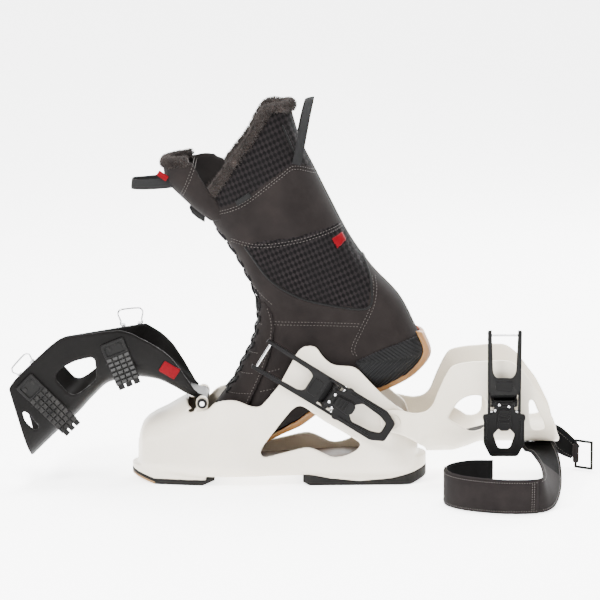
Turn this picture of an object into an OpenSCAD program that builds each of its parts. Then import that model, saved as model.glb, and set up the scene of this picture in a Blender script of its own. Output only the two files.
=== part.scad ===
// Openable three-piece ski touring boot, left foot, standing on its sole.
// +X points to the heel, +Z up, -Y is the outer (lateral) side.
// The origin is the centre of the heel pad's ground face.

/* [Shell] */
// Wall of the lower shell
shell_wall = 3.6; // [2.8:0.1:4.2]
// Half width of the toe lug
toe_lug_half = 34.5; // [33:0.5:36]
// Half width of the heel lug
heel_lug_half = 31; // [28:0.5:34]
// Top of the toe lug
toe_lug_top = 19; // [18:0.5:21]
// Top of the heel lug
heel_lug_top = 30; // [28:0.5:31]

/* [Hinges] */
// Toe hinge, distance in front of the heel centre
hinge_x = -172; // [-173:0.5:-171]
// Toe hinge height
hinge_z = 90; // [89:0.5:91]
// Radius of the toe hinge pin
hinge_pin_r = 2.5; // [2:0.1:3]
// Half length of the tongue's hinge knuckle
knuckle_half = 27; // [24:1:28]
// Cuff pivot behind the heel centre
pivot_x = 30; // [29:0.5:31]
// Cuff pivot height
pivot_z = 72; // [71:0.5:73]
// Radius of the cuff pivot's shank
pivot_r = 4; // [3.5:0.1:4.5]
// Radial clearance of every running fit
fit = 0.06; // [0.03:0.01:0.09]

/* [Tongue] */
// Wall of the tongue
tongue_wall = 3; // [2.5:0.1:3.2]
// Thickness of the red label
label_t = 1.4; // [0.8:0.1:1.8]
// Rows of teeth on a rack
rack_rows = 5; // [3:1:6]
// Columns of teeth on a rack
rack_cols = 3; // [2:1:4]

/* [Cuff] */
// Wall of the rear cuff
cuff_wall = 3; // [2.5:0.1:3.2]

/* [Buckles] */
// Length of the instep buckle's lever
instep_lever_len = 74; // [66:1:76]
// Width of the instep buckle's lever
instep_lever_w = 37; // [34:1:40]
// Reach of the instep buckle's ladder frame
instep_frame_len = 88; // [80:1:90]
// Length of the cuff buckle's lever
cuff_lever_len = 57; // [50:1:58]
// Width of the cuff buckle's lever
cuff_lever_w = 44; // [38:1:45]
// Reach of the cuff buckle's ladder frame
cuff_frame_len = 78; // [70:1:80]
// Radius of the catch rod in a ladder frame
rod_r = 1.4; // [1:0.1:1.8]
// Radius of a buckle's pivot pin
buckle_pin_r = 1.6; // [1.2:0.1:1.8]

/* [Strap] */
// Width of the strap
strap_w = 36; // [32:1:37]
// Thickness of the strap
strap_t = 3; // [2:0.2:3.6]

/* [Liner] */
// Wall of the inner boot
liner_wall = 8; // [6:0.5:9]
// Thickness of the insole
insole_t = 4; // [2:0.5:5]

/* [Hidden] */
$fn = 32;

wide = 90;        // further out than any side wall
thin = 0.3;       // thickness of a loft's slices
corner_steps = 5; // facets of a slice's rounded corner
sole_mid_x = -91; // middle of the shell's length
shell_len = 298;  // outer length of the lofted shell

// ---- outlines in the X-Z plane ----
rim = [[-188, 84], [-180, 82.5], [-165, 82.5], [-160, 91], [-147, 95], [-136, 95], [-118, 87.3], [-110, 87.5],
    [-103, 95], [-90, 111], [-71, 146], [-64, 152.5], [-51, 152.5], [-45, 141.5], [-34, 131.6],
    [-10, 130.5], [1, 119], [20, 99], [35, 86], [45, 80], [50, 64], [54, 49], [64, 47]];
shell_window = [[-110, 38], [-109, 43], [-79, 81.5], [-72, 87.5], [-65, 88], [-44, 72],
    [-20, 58], [-5, 48.5], [-4, 45], [-8.5, 39], [-22, 33], [-34, 32], [-41.5, 36],
    [-56, 43], [-64, 43], [-102, 33.5], [-108, 33.5]];
tongue_edge = [[-178, 99], [-192, 122], [-205, 141], [-218, 152], [-232, 160], [-247, 168],
    [-258, 171], [-294, 167], [-320, 163], [-333, 153], [-356, 131], [-379, 113]];
// The inner flank is lower than the outer one, so the wire bails stand on its edge
tongue_far_edge = [[-226, 160], [-233, 161.5], [-256, 158], [-324, 146.5], [-353, 119.5],
    [-372, 99.5], [-392, 79]];
label_side = [[-201.8, 115.6], [-194.8, 126.2], [-211.2, 137.4], [-218.2, 126.8]];
tongue_window = [[-328, 120], [-320, 130], [-304, 138], [-285, 142], [-283, 117],
    [-301, 103], [-310, 100]];
tongue_slot = [[-362, 84], [-356, 81.5], [-344, 66.5], [-348, 62], [-359, 73]];
cuff_side = [[24, 61], [34, 59], [45, 55], [58.6, 47], [66, 41], [68, 20], [212, 20],
    [209, 45], [207.7, 52], [204.5, 59], [202, 71], [194, 88], [186, 103], [177, 114],
    [169, 126], [164, 130.5], [155, 138], [145, 139], [113, 137], [97, 134.5], [90.5, 131],
    [83.5, 118], [77, 103], [72, 89], [64, 82], [50, 81], [36, 84]];
cuff_window = [[91.6, 81.5], [98, 92], [106.5, 99], [119, 101], [128, 98], [128, 64],
    [113, 60], [105, 66], [88, 75]];
cuff_top_window = [[173.6, 95.6], [178, 96.6], [183, 84], [188.5, 75], [192, 64],
    [178, 62], [175, 73]];

// ---- loft stations: [foot x, foot z, head x, head z, half width at the foot, half width at
// the head, corner radius at the foot, corner radius at the head, sideways shift] ----
function upright(x, yc, hb, ht, z0, z1, rb, rt) = [x, z0, x, z1, hb, ht, rb, rt, yc];
shell_loft = [
    upright(-240, 8, 20, 16, 17, 50, 8, 12), upright(-236, 8, 29, 24, 12, 61, 10, 18),
    upright(-226, 8, 37, 31, 10, 70, 12, 24), upright(-210, 7, 43, 37, 10, 78, 14, 28),
    upright(-190, 5, 48, 41, 10, 89.5, 14, 30), upright(-170, 2, 51, 44, 10, 99, 14, 30),
    upright(-145, 0, 52, 46, 10, 122, 14, 20), upright(-115, 0, 49, 43, 10, 150, 14, 12),
    upright(-95, 0, 45, 41.8, 10, 165, 14, 10), upright(-60, 0, 42.5, 41.6, 10, 170, 14, 10),
    upright(-20, 0, 42, 41.5, 10, 165, 14, 10), upright(20, 0, 41, 41, 10, 150, 14, 10),
    upright(42, 0, 36, 36, 10, 130, 14, 10), upright(53, 0, 27, 27, 11, 120, 14, 10),
    upright(57.5, 0, 17, 17, 15, 110, 12, 10)];
tongue_loft = [
    [-177, 90.5, -176, 125, 27, 27, 14, 8, 0], [-190, 97, -190, 145, 33, 35, 18, 8, 0],
    [-203, 105, -203, 165, 39, 42, 22, 8, 0], [-221, 113.5, -222, 180, 46, 48, 26, 8, 0],
    [-240, 116, -240, 190, 48, 48, 28, 8, 0], [-270, 110, -275, 190, 48, 48, 30, 8, 0],
    [-288, 94.5, -297, 185, 48, 48, 30, 8, 0], [-304, 77, -318, 175, 48, 48, 30, 8, 0],
    [-328, 55, -348, 155, 48, 48.5, 31, 8, 0], [-353.6, 30, -381, 125, 50, 50, 32, 8, 0]];
cuff_loft = [
    upright(12, 0, 46.8, 46.8, 30, 150, 8, 8), upright(52, 0, 46.8, 46.8, 30, 150, 8, 8),
    upright(64, 0, 46.8, 46.8, 36, 150, 24, 8), upright(75, 0, 47, 47, 35, 150, 30, 8),
    upright(91, 0, 47, 47, 35, 150, 32, 8), upright(108, 0, 47.5, 47.5, 39, 150, 34, 8),
    upright(127, 0, 48.5, 48.5, 45, 150, 36, 8), upright(175, 0, 50, 50, 45, 150, 38, 8),
    upright(208, 0, 51, 51, 44, 150, 40, 8)];
liner_loft = [for (s = [
    [-183, 38, -183, 46, 8, 7], [-179, 31, -179, 52, 20, 7], [-170, 26, -169, 61, 29, 7],
    [-148, 30, -149, 78, 36, 5], [-108, 46, -131, 91, 39, 2], [-88, 55, -126, 107, 39, 0],
    [-72, 61, -120, 128, 38, 0], [-45, 79, -112, 151, 36.5, 0], [-12, 90, -109, 167, 34.5, 0],
    [26, 103, -110, 180, 33, 0], [53, 119, -112, 190, 32, 0], [68, 141, -115, 200, 32, 0],
    [57, 166, -121, 212, 34, 0], [41, 198, -128, 226, 36, 0], [10, 232, -137, 243, 38, 0],
    [-14, 266, -150, 262, 40, 0], [-36, 308, -163, 280, 43, 0]])
        round_slice(s[0], s[1], s[2], s[3], s[4], s[5])];
collar_loft = [round_slice(-36.3, 308.6, -163.3, 280.6, 45), round_slice(-52, 340, -170, 312, 46),
    round_slice(-66, 365, -168, 345, 44), round_slice(-80, 404, -130, 398, 32)];
flap_loft = [round_slice(-118, 292, -164, 281.5, 32), round_slice(-132, 305, -190, 303, 34),
    round_slice(-143, 335, -212, 328, 35), round_slice(-146, 352, -214, 343, 33)];
function round_slice(bx, bz, fx, fz, w, yc = 0) =
    let (r = 0.94 * min(w, norm([fx - bx, fz - bz]) / 2)) [bx, bz, fx, fz, w, w, r, r, yc];

// ---- shared shapes ----
function corner(y, z, r, turn) =
    [for (i = [0:corner_steps]) let (a = turn + 90 * i / corner_steps)
        [y + r * cos(a), z + r * sin(a)]];
function section(yc, hb, ht, z0, z1, rb, rt) = concat(
    corner(yc - hb + rb, z0 + rb, rb, 180), corner(yc + hb - rb, z0 + rb, rb, 270),
    corner(yc + ht - rt, z1 - rt, rt, 0), corner(yc - ht + rt, z1 - rt, rt, 90));

// One thin cross-section of a loft, drawn inwards by t
module slice(s, t = 0, thick = thin) {
    reach = norm([s[2] - s[0], s[3] - s[1]]);
    rb = max(s[6] - t, 1);
    rt = max(s[7] - t, 1);
    translate([s[0], 0, s[1]]) rotate([0, atan2(s[2] - s[0], s[3] - s[1]), 0])
        rotate([90, 0, 90]) linear_extrude(thick, center = true)
            polygon(section(s[8], s[4] - t, s[5] - t, t, reach - t, rb, rt));
}

module loft(stations, t = 0) {
    for (i = [0:len(stations) - 2]) hull() {
        slice(stations[i], t);
        slice(stations[i + 1], t);
    }
}

// An X-Z outline extruded across the boot from y0 to y1
module across(y0 = -wide, y1 = wide) {
    translate([0, y1, 0]) rotate([90, 0, 0]) linear_extrude(y1 - y0) children();
}

// A cylinder along Y
module axle(x, z, r, y0, y1) {
    translate([x, y1, z]) rotate([90, 0, 0]) cylinder(r = r, h = y1 - y0);
}

// A plate of the side wall: origin on the outer face, +x along the buckle, outward is -Y
module beside(x, y, z, slope) {
    translate([x, y, z]) rotate([0, slope, 0]) children();
}

// A flat bar seen from the side, from x0 to x1 and z0 to z1, standing out from y0 to y1
module bar(x0, x1, z0, z1, y0, y1) {
    translate([x0, y0, z0]) cube([x1 - x0, y1 - y0, z1 - z0]);
}

// ---- lower shell and sole ----
module shell_cavity(t) {
    k = (shell_len - 2 * t) / shell_len;
    translate([sole_mid_x * (1 - k), 0, 0]) scale([k, 1, 1]) loft(shell_loft, t);
}

module front_plan() {
    hull() {
        translate([-248 + toe_lug_half, 6]) circle(r = toe_lug_half);
        translate([-185, 4]) circle(r = 38);
        translate([-168, -36]) square([9, 74]);
    }
}

module rear_plan() {
    hull() {
        translate([-65, -35]) square([6, 70]);
        translate([67 - heel_lug_half, 0]) circle(r = heel_lug_half);
    }
}

front_top_line = [[-248.5, 13.5], [-223, 5.5], [-168, 5.5], [-168, 10], [-158, 10]];
rear_top_line = [[-65, 13], [-34, 7], [-4, 4], [30, 7], [50, 12], [68, 18]];

module lower_shell() color("white") difference() {
    union() {
        difference() {
            loft(shell_loft);
            shell_cavity(shell_wall);
        }
        intersection() {
            linear_extrude(40) front_plan();
            across() polygon(concat(front_top_line, [[-158, 12], [-226, 12],
                [-232, toe_lug_top], [-250, toe_lug_top]]));
        }
        intersection() {
            linear_extrude(40) rear_plan();
            across() polygon(concat(rear_top_line, [[68, heel_lug_top], [50, heel_lug_top],
                [50, 13.4], [-65, 13.4]]));
        }
    }
    intersection() {
        linear_extrude(40) rear_plan();
        across() polygon(concat(rear_top_line, [[68, -5], [-65, -5]]));
    }
    across() polygon(concat([[-188, 220]], rim, [[64, 220]]));
    across() polygon(shell_window);
    across(-wide, 0) polygon([[-186, 78], [-180, 80], [-180, 83], [-186, 81]]);
    axle(pivot_x, pivot_z, pivot_r + 0.02, -wide, wide);
    for (side = [-1, 1]) hinge_ear(side, 0.05);
    for (x = [-205, -180, -45, 20]) translate([x, 0, -1]) cylinder(r = 2.6, h = 16);
}

module sole_pad_front() color("#1c1c1e") difference() {
    intersection() {
        linear_extrude(40) front_plan();
        across() polygon([[-172, 0], [-159, 6], [-159, 10], [-168, 10], [-168, 5.5],
            [-223, 5.5], [-248.5, 13.5], [-249, 10.5], [-223, 2.6], [-223, 0]]);
    }
    for (x = [-205, -180]) translate([x, 0, -1]) cylinder(r = 5, h = 3);
    for (x = [-205, -180]) translate([x, 0, -1]) cylinder(r = 2.6, h = 16);
}

module toe_tip() color("#b98a4e") intersection() {
    linear_extrude(40) front_plan();
    across() polygon([[-223, 0], [-223, 2.6], [-249, 10.5], [-247, 7.5]]);
}

module sole_pad_heel() color("#1c1c1e") difference() {
    intersection() {
        linear_extrude(40) rear_plan();
        across() polygon(concat(rear_top_line, [[68, 7], [50, 0], [-58, 0], [-65, 4]]));
    }
    for (x = [-45, 20]) translate([x, 0, -1]) cylinder(r = 5, h = 3);
    for (x = [-45, 20]) translate([x, 0, -1]) cylinder(r = 2.6, h = 16);
}

module sole_screws() color("silver") for (x = [-205, -180, -45, 20]) translate([x, 0, 0]) {
    difference() {
        translate([0, 0, 0.6]) cylinder(r = 4.6, h = 1.3);
        translate([0, 0, 0.5]) cylinder(r = 2, h = 1, $fn = 6);
    }
    translate([0, 0, 1.9]) cylinder(r = 2.5, h = 10);
}

module boot_board() color("#5a3a1c") intersection() {
    shell_cavity(shell_wall + 0.3);
    across() polygon([[-212, 14], [-212, 20.5], [-110, 20.5], [-20, 27], [46, 27], [46, 14]]);
}

// ---- toe hinge ----
module hinge_ear(side, grow = 0) {
    y0 = side > 0 ? knuckle_half + 0.4 - grow : -knuckle_half - 10.4 - grow;
    y1 = side > 0 ? knuckle_half + 10.4 + grow : -knuckle_half - 0.4 + grow;
    axle(hinge_x, hinge_z, 6.5 + grow, y0, y1);
    bar(hinge_x - 6 - grow, hinge_x + 6 + grow, hinge_z - 9 - grow, hinge_z, y0, y1);
}

module toe_hinge_block() color("#e4ded0") difference() {
    for (side = [-1, 1]) hinge_ear(side);
    axle(hinge_x, hinge_z, hinge_pin_r + 0.01, -wide, wide);
}

module toe_hinge_pin() color("silver")
    axle(hinge_x, hinge_z, hinge_pin_r, -knuckle_half - 13.6, knuckle_half + 13.6);

module toe_grommets() color("#161616") difference() {
    for (side = [-1, 1]) axle(hinge_x, hinge_z, 5.4,
        side > 0 ? knuckle_half + 10.5 : -knuckle_half - 12.8,
        side > 0 ? knuckle_half + 12.8 : -knuckle_half - 10.5);
    axle(hinge_x, hinge_z, hinge_pin_r + 0.01, -wide, wide);
}

// ---- cuff pivot ----
module cuff_pivot_pins() color("silver") for (side = [-1, 1]) mirror([0, side < 0 ? 0 : 1, 0]) {
    axle(pivot_x, pivot_z, pivot_r, -47.6, -35.4);
    axle(pivot_x, pivot_z, 7.5, -49, -47.6);
    axle(pivot_x, pivot_z, 7, -42.7, -40.5);
}

module cuff_pivot_rings() color("#8d8d90") difference() {
    for (side = [-1, 1]) mirror([0, side < 0 ? 0 : 1, 0])
        axle(pivot_x, pivot_z, 8, -47.1, -42.9);
    axle(pivot_x, pivot_z, pivot_r + fit, -wide, wide);
}

// ---- buckles; each is drawn along +x from its lever's pin ----
pin_out = 11.6;   // the lever's pin stands this far out from the wall
frame_ahead = 9;  // the frame's pin lies this far along the lever

module buckle_base() {
    difference() {
        union() {
            bar(-22, 6, -14, 14, -2.4, 0);
            for (z = [-14, 11]) hull() {
                translate([0, -pin_out, z]) cylinder(r = 3.2, h = 3);
                bar(-5, 5, z, z + 3, -1, 0);
            }
        }
        translate([0, -pin_out, -20]) cylinder(r = buckle_pin_r + 0.01, h = 40);
        for (z = [-8, 8]) translate([-14, 1, z]) rotate([90, 0, 0]) cylinder(r = 2.05, h = 9);
    }
    translate([0, -pin_out, -14]) cylinder(r = buckle_pin_r, h = 28);
}

module buckle_screws() for (z = [-8, 8]) translate([-14, 0, z]) rotate([90, 0, 0]) {
    cylinder(r = 2, h = 2.4);
    translate([0, 0, 2.4]) difference() {
        cylinder(r = 3.6, h = 1.3);
        translate([0, 0, 0.6]) cylinder(r = 1.5, h = 1, $fn = 6);
    }
}

module lever(len, w) {
    half = w / 2;
    difference() {
        union() {
            translate([0, -pin_out, -10.7]) cylinder(r = 3.2, h = 21.4);
            translate([0, -pin_out + 1.6, 0]) rotate([90, 0, 0]) linear_extrude(4.2) polygon([
                [0, -10.7], [6, -10.7], [12.5, -13.4], [20, -half], [len - 5, -half + 2],
                [len, -half + 7], [len, half - 7], [len - 5, half - 2], [20, half],
                [12.5, 13.4], [6, 10.7], [0, 10.7]]);
            for (side = [-1, 1]) bar(18, len - 8, side * (half - 4) - 1.4,
                side * (half - 4) + 1.4, -pin_out - 4, -pin_out - 2.6);
        }
        translate([0, 5, 0]) rotate([90, 0, 0]) linear_extrude(40) polygon([
            [20, -7], [24, -10.5], [len - 17, -9], [len - 13, -5],
            [len - 13, 5], [len - 17, 9], [24, 10.5], [20, 7]]);
        translate([0, -pin_out, -20]) cylinder(r = buckle_pin_r + fit, h = 40);
        translate([frame_ahead, -pin_out, -20]) cylinder(r = buckle_pin_r + 0.01, h = 40);
    }
    translate([frame_ahead, -pin_out, -17.6]) cylinder(r = buckle_pin_r, h = 35.2);
}

module buckle_frame(len) difference() {
    union() {
        for (side = [-1, 1]) {
            z0 = side > 0 ? 14.4 : -17.4;
            translate([frame_ahead, -pin_out, z0]) cylinder(r = 2.8, h = 3);
            bar(-len, frame_ahead, z0, z0 + 3, -pin_out - 2, -pin_out + 1.4);
        }
        bar(-len, -len + 5, -17.4, 17.4, -pin_out - 2, -pin_out + 1.4);
        bar(-28, -10, -17, 17, -pin_out - 2, -pin_out + 1.4);
        translate([-len + 10, -pin_out, -15]) cylinder(r = rod_r, h = 30);
    }
    translate([frame_ahead, -pin_out, -20]) cylinder(r = buckle_pin_r + fit, h = 40);
}

module instep_place() beside(-36, -42.2, 101, 31.8) children();
module cuff_place() beside(147, -49.6, 95, 90) children();

module instep_buckle_base() color("#202022") instep_place() buckle_base();
module instep_base_screws() color("silver") instep_place() buckle_screws();
module instep_lever() color("#202022") instep_place() lever(instep_lever_len, instep_lever_w);
module instep_frame() color("#2a2a2c") instep_place() buckle_frame(instep_frame_len);
module cuff_buckle_base() color("#202022") cuff_place() buckle_base();
module cuff_base_screws() color("silver") cuff_place() buckle_screws();
module cuff_lever() color("#202022") cuff_place() lever(cuff_lever_len, cuff_lever_w);
module cuff_frame() color("#2a2a2c") cuff_place() buckle_frame(cuff_frame_len);

// A hook on the inner side that a wire bail drops over
module catch_hook() difference() {
    bar(-8, 8, -9, 9, 0, 7);
    bar(-9, 9, -3, 3, 3, 6);
}
module medial_catch() color("#202022") translate([-58, 42.3, 125]) rotate([0, 30, 0])
    catch_hook();
module cuff_catch() color("#202022") translate([145, 49.6, 118]) catch_hook();

// ---- tongue ----
module tongue_knuckle_shape(grow = 0) {
    axle(hinge_x, hinge_z, 6 + grow, -knuckle_half, knuckle_half);
    beside(hinge_x, 0, hinge_z, 20) bar(-16 - grow, 0, 1 - grow, 6 + grow, -22 - grow, 22 + grow);
}

module tongue_knuckle() color("#232325") difference() {
    tongue_knuckle_shape();
    axle(hinge_x, hinge_z, hinge_pin_r + fit, -wide, wide);
}

module tongue_shell() color("#232325") difference() {
    loft(tongue_loft);
    loft(tongue_loft, tongue_wall);
    across() polygon(concat([[-150, 260], [-150, 99]], tongue_edge, [[-392, 106], [-392, 260]]));
    across(0, wide) polygon(concat([[-226, 260]], tongue_far_edge, [[-392, 260]]));
    across() polygon(tongue_window);
    across(-wide, 0) polygon(tongue_slot);
    tongue_knuckle_shape(0.05);
}

// A toothed rack: a smooth plate, then rows of saw teeth
module rack(plate, toothed, w) {
    pitch = toothed / rack_rows;
    strip = w / rack_cols;
    bar(0, plate + toothed, -w / 2, w / 2, -1.8, 0);
    for (c = [0:rack_cols - 1]) translate([plate, -1.8, -w / 2 + c * strip + 0.8])
        linear_extrude(strip - 1.6) polygon(concat([[0, 0]],
            [for (i = [0:rack_rows - 1]) each [[i * pitch + 0.6, -0.4],
                [(i + 0.8) * pitch, -2], [(i + 1) * pitch - 0.2, -0.4]]], [[toothed, 0]]));
    for (c = [0:rack_cols - 1]) bar(plate + toothed, plate + toothed + 5,
        -w / 2 + c * strip + 1.2, -w / 2 + (c + 1) * strip - 1.2, -1.8, 0);
}

module rack_instep_place() beside(-267, -48.1, 159, 68) children();
module rack_cuff_place() beside(-360, -50.1, 117, 45) children();

module rack_holes(x) for (z = [-6, 6]) translate([x, 4, z]) rotate([90, 0, 0])
    cylinder(r = 1.55, h = 9);
module rack_bolts(x) for (z = [-6, 6]) translate([x, 0, z]) rotate([90, 0, 0]) {
    cylinder(r = 1.5, h = 1.8);
    translate([0, 0, 1.8]) cylinder(r = 2.7, h = 0.9);
}

module rack_instep() color("#303033") rack_instep_place() difference() {
    rack(16, 31, 24.5);
    rack_holes(7);
}
module rack_cuff() color("#303033") rack_cuff_place() difference() {
    rack(22, 47, 21);
    rack_holes(8);
}
module rack_screws() color("silver") {
    rack_instep_place() rack_bolts(7);
    rack_cuff_place() rack_bolts(8);
}

// A plain plate moulded to the outer flank
label_loft = [for (i = [0:4]) tongue_loft[i]];
module label_plate() color("#b02a2a") intersection() {
    difference() {
        loft(label_loft, -label_t);
        loft(label_loft, -0.05);
    }
    across(-wide, 0) polygon(label_side);
}

// Wire bails on the inner flank: feet in two barrels, the bow standing up from them
module bail_barrels() difference() {
    for (x = [-11, 7]) translate([x, 0, 0]) rotate([0, 90, 0]) cylinder(r = 2.4, h = 4);
    translate([-20, 0, 0]) rotate([0, 90, 0]) cylinder(r = 1 + fit, h = 40);
}
module bail_wire(reach) {
    translate([-12.5, 0, 0]) rotate([0, 90, 0]) cylinder(r = 1, h = 25);
    for (x = [-12.5, 12.5]) translate([x, 0, 0]) {
        sphere(r = 1);
        cylinder(r = 1, h = reach);
        translate([0, 0, reach]) sphere(r = 1);
    }
    translate([-12.5, 0, reach]) rotate([0, 90, 0]) cylinder(r = 1, h = 25);
}
module bail_instep_place() translate([-250, 51.2, 159]) rotate([0, -6, 0]) children();
module bail_cuff_place() translate([-364, 52.9, 110]) rotate([0, -48, 0]) children();

module bail_anchors() color("#8d8d90") {
    bail_instep_place() union() {
        bail_barrels();
        bar(-11, 11, -7, -2.41, -3, 1);
    }
    bail_cuff_place() union() {
        bail_barrels();
        bar(-11, 11, -7, -2.41, -2.7, 1);
    }
}
module bail_instep() color("silver") bail_instep_place() bail_wire(17);
module bail_cuff() color("silver") bail_cuff_place() bail_wire(12);

// ---- cuff ----
module cuff_shell() color("white") difference() {
    intersection() {
        difference() {
            loft(cuff_loft);
            translate([-1, 0, 0]) loft(cuff_loft, cuff_wall);
            translate([4, 0, 0]) loft([cuff_loft[7], cuff_loft[8]], cuff_wall);
        }
        across() union() {
            polygon(cuff_side);
            translate([pivot_x, pivot_z]) circle(r = 14);
        }
    }
    across() polygon(cuff_window);
    across() polygon(cuff_top_window);
    axle(pivot_x, pivot_z, 8.2, -wide, wide);
}

module spoiler_base() color("#b08a5c") across(-12, 12) polygon([[88, 39], [106, 42.6],
    [127, 48.4], [176, 48.4], [176, 51], [127, 51], [106, 45.2], [88, 41.6]]);
module spoiler_pad() color("#161618") across(-12, 12) polygon([[92, 42.5], [106, 45.3],
    [127, 51.1], [172, 51.1], [170, 57], [130, 57], [106, 51], [94, 48]]);

// ---- strap: riveted under the spine, it curls round the boot's near side and lies on edge ----
// Each station is the plan place of the band's lower edge and of its upper edge, with heights
strap_low = 1.9;
strap_high = strap_low + strap_w - strap_t;
strap_curl = [[201, -11, 42.4, 167, -11, 42.4], [204, -44, 38, 171, -42, 41],
    [206, -75, 28, 176, -70, 45], [203, -115, 14, 183, -108, 41], [194, -148, 4, 185, -140, 36]];
strap_route = [[178, -165], [150, -170], [124, -164], [100, -150], [86, -130], [85, -106],
    [94, -88], [112, -76], [135, -75]];
strap_stations = concat(strap_curl, [for (p = strap_route)
    [p[0], p[1], strap_low, p[0], p[1], strap_high]]);
far_curl = [[201, 11, 42.4, 167, 11, 42.4], [205, 30, 36, 180, 30, 44],
    [209, 46, 26, 197, 45, 50], [212, 51.5, 20, 208, 51, 46], [224, 50.5, 12, 224, 50.5, 34],
    [231, 48.6, 9.5, 231, 48.6, 26.5]];
fixing = [166, 202];    // where the strap lies under the spine, along X
fixing_z = 40.9;
rivets = [175, 193];
ring_pin = [231, 46];  // upright bar of the ring, held in the strap's folded eye
ring_len = 20;
ring_wire = 1.4;

module ribbon(stations) for (i = [0:len(stations) - 2]) hull()
    for (s = [stations[i], stations[i + 1]]) {
        translate([s[0], s[1], s[2]]) sphere(r = strap_t / 2, $fn = 8);
        translate([s[3], s[4], s[5]]) sphere(r = strap_t / 2, $fn = 8);
    }

module power_strap() color("#3b3a3b") {
    difference() {
        union() {
            ribbon(strap_stations);
            bar(fixing[0], fixing[1], fixing_z, fixing_z + strap_t, -12, 12);
            ribbon(far_curl);
            translate([ring_pin[0], ring_pin[1], 8]) cylinder(r = 3.6, h = 20);
        }
        translate([ring_pin[0], ring_pin[1], -1]) cylinder(r = ring_wire + fit, h = 60);
        for (x = rivets) translate([x, 0, 0]) cylinder(r = 1.6, h = 60);
    }
}
module strap_rivets() color("silver") for (x = rivets) translate([x, 0, fixing_z]) {
    cylinder(r = 1.58, h = strap_t);
    translate([0, 0, -0.9]) cylinder(r = 3, h = 0.9);
}

// The wire ring at the strap's end turns on its upright bar in the strap's folded eye
module strap_ring() color("#1d1d1f") translate([ring_pin[0], ring_pin[1], 0])
    rotate([0, 0, -35]) {
        for (x = [0, ring_len]) translate([x, 0, 3]) cylinder(r = ring_wire, h = 29);
        for (z = [3, 32]) translate([0, 0, z]) rotate([0, 90, 0])
            cylinder(r = ring_wire, h = ring_len);
        for (x = [0, ring_len], z = [3, 32]) translate([x, 0, z]) sphere(r = ring_wire);
    }

// ---- inner boot, standing heel-up in the shell ----
module liner_upper() color("#55504b") difference() {
    loft(liner_loft);
    loft([for (i = [3, 6, 8, 10, 12, 14, 16]) liner_loft[i]], liner_wall);
    translate([-1, 0, 3]) slice(liner_loft[16], liner_wall, 8);
}

sole_line = [[-180, 28], [-165, 23.4], [-139, 26.5], [-60, 56], [-50, 66], [-38, 73],
    [20, 91], [37, 98], [50, 104], [63, 116]];
module liner_outsole() color("#b57f3d") difference() {
    intersection() {
        across() polygon(concat(sole_line, [[55, 122], [20, 102], [-12, 92], [-45, 80],
            [-72, 64], [-108, 50], [-148, 34], [-170, 30], [-180, 34]]));
        union() {
            hull() {
                translate([-163, 7, 0]) cylinder(r = 18, h = 200);
                translate([-140, 5, 0]) cylinder(r = 31, h = 200);
                translate([-100, 1, 0]) cylinder(r = 36, h = 200);
            }
            hull() {
                translate([-100, 0, 0]) cylinder(r = 36, h = 200);
                translate([30, 0, 0]) cylinder(r = 33, h = 200);
            }
        }
    }
    loft(liner_loft, -0.2);
}

module heel_rand() color("#1e1e20") intersection() {
    difference() {
        loft([for (i = [9:13]) liner_loft[i]], -2);
        loft([for (i = [7:14]) liner_loft[i]], -0.2);
    }
    across() polygon([[6, 122], [58, 158], [80, 150], [80, 128], [66, 119.6], [55, 122.4],
        [20, 104]]);
}

module insole() color("#2c2c2e") translate([-0.8, 0, 3.5]) {
    across(-12, 12) polygon([[-140, 42], [-105, 57], [-70, 72], [-43, 90], [-12, 101],
        [20, 113], [20, 113 + insole_t], [-12, 101 + insole_t], [-43, 90 + insole_t],
        [-70, 72 + insole_t], [-105, 57 + insole_t], [-140, 42 + insole_t]]);
}

module liner_tongue() color("#8a8178") difference() {
    loft(flap_loft);
    translate([6, 0, 2]) loft(flap_loft, 8);
    across() polygon([[-100, 270], [-150, 300], [-150, 370], [-100, 370]]);
}

module collar_fur() color("#8f857b") difference() {
    loft(collar_loft);
    translate([-2, 0, 0]) loft(collar_loft, 7);
    translate([-2, 0, 4]) loft([collar_loft[2], collar_loft[3]], 7);
    across() polygon([[-210, 270], [-146, 281], [-152, 305], [-150, 335], [-130, 362],
        [-117, 388], [-108, 412], [-210, 420]]);
    loft(flap_loft, -1);
}

lace_rows = [[-109.8, 168], [-110.6, 178], [-112.4, 188], [-115.2, 198]];
module liner_laces() color("#2b2b2d") for (row = lace_rows)
    translate([row[0], 0, row[1]]) bar(-2.6, -0.2, -1.5, 1.5, -19, 19);
module lace_hooks() color("#3a3a3c") for (row = lace_rows, side = [-1, 1])
    translate([row[0], side * 21, row[1]]) bar(-2.6, 4.5, -2, 2, -2, 2);

module front_pull_loop() color("#34302d") difference() {
    across(-11, 11) polygon([[-211, 331], [-242, 326], [-246, 320], [-240, 314], [-209, 316]]);
    across(-12, 12) polygon([[-216, 328.5], [-240, 323.5], [-242.5, 320], [-239, 316.5],
        [-214, 318.5]]);
    loft(flap_loft, -0.3);
}
module rear_pull_loop() color("#34302d") difference() {
    across(-11, 11) polygon([[-72, 343], [-56, 349], [-51, 405], [-56, 412], [-63, 411],
        [-71, 380]]);
    across(-12, 12) polygon([[-67, 358], [-60, 361], [-54, 403], [-57, 409], [-62, 408],
        [-67.5, 380]]);
    loft(collar_loft, -0.3);
}
module liner_clip() color("#1b1b1d") translate([-186, 0, 289]) rotate([0, -40, 0]) difference() {
    bar(-7, 7, -8, 8, -8, 8);
    bar(-4, 20, -4, 4, -20, 20);
    rotate([0, 40, 0]) translate([186, 0, -289]) loft(flap_loft, -0.3);
}

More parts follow.
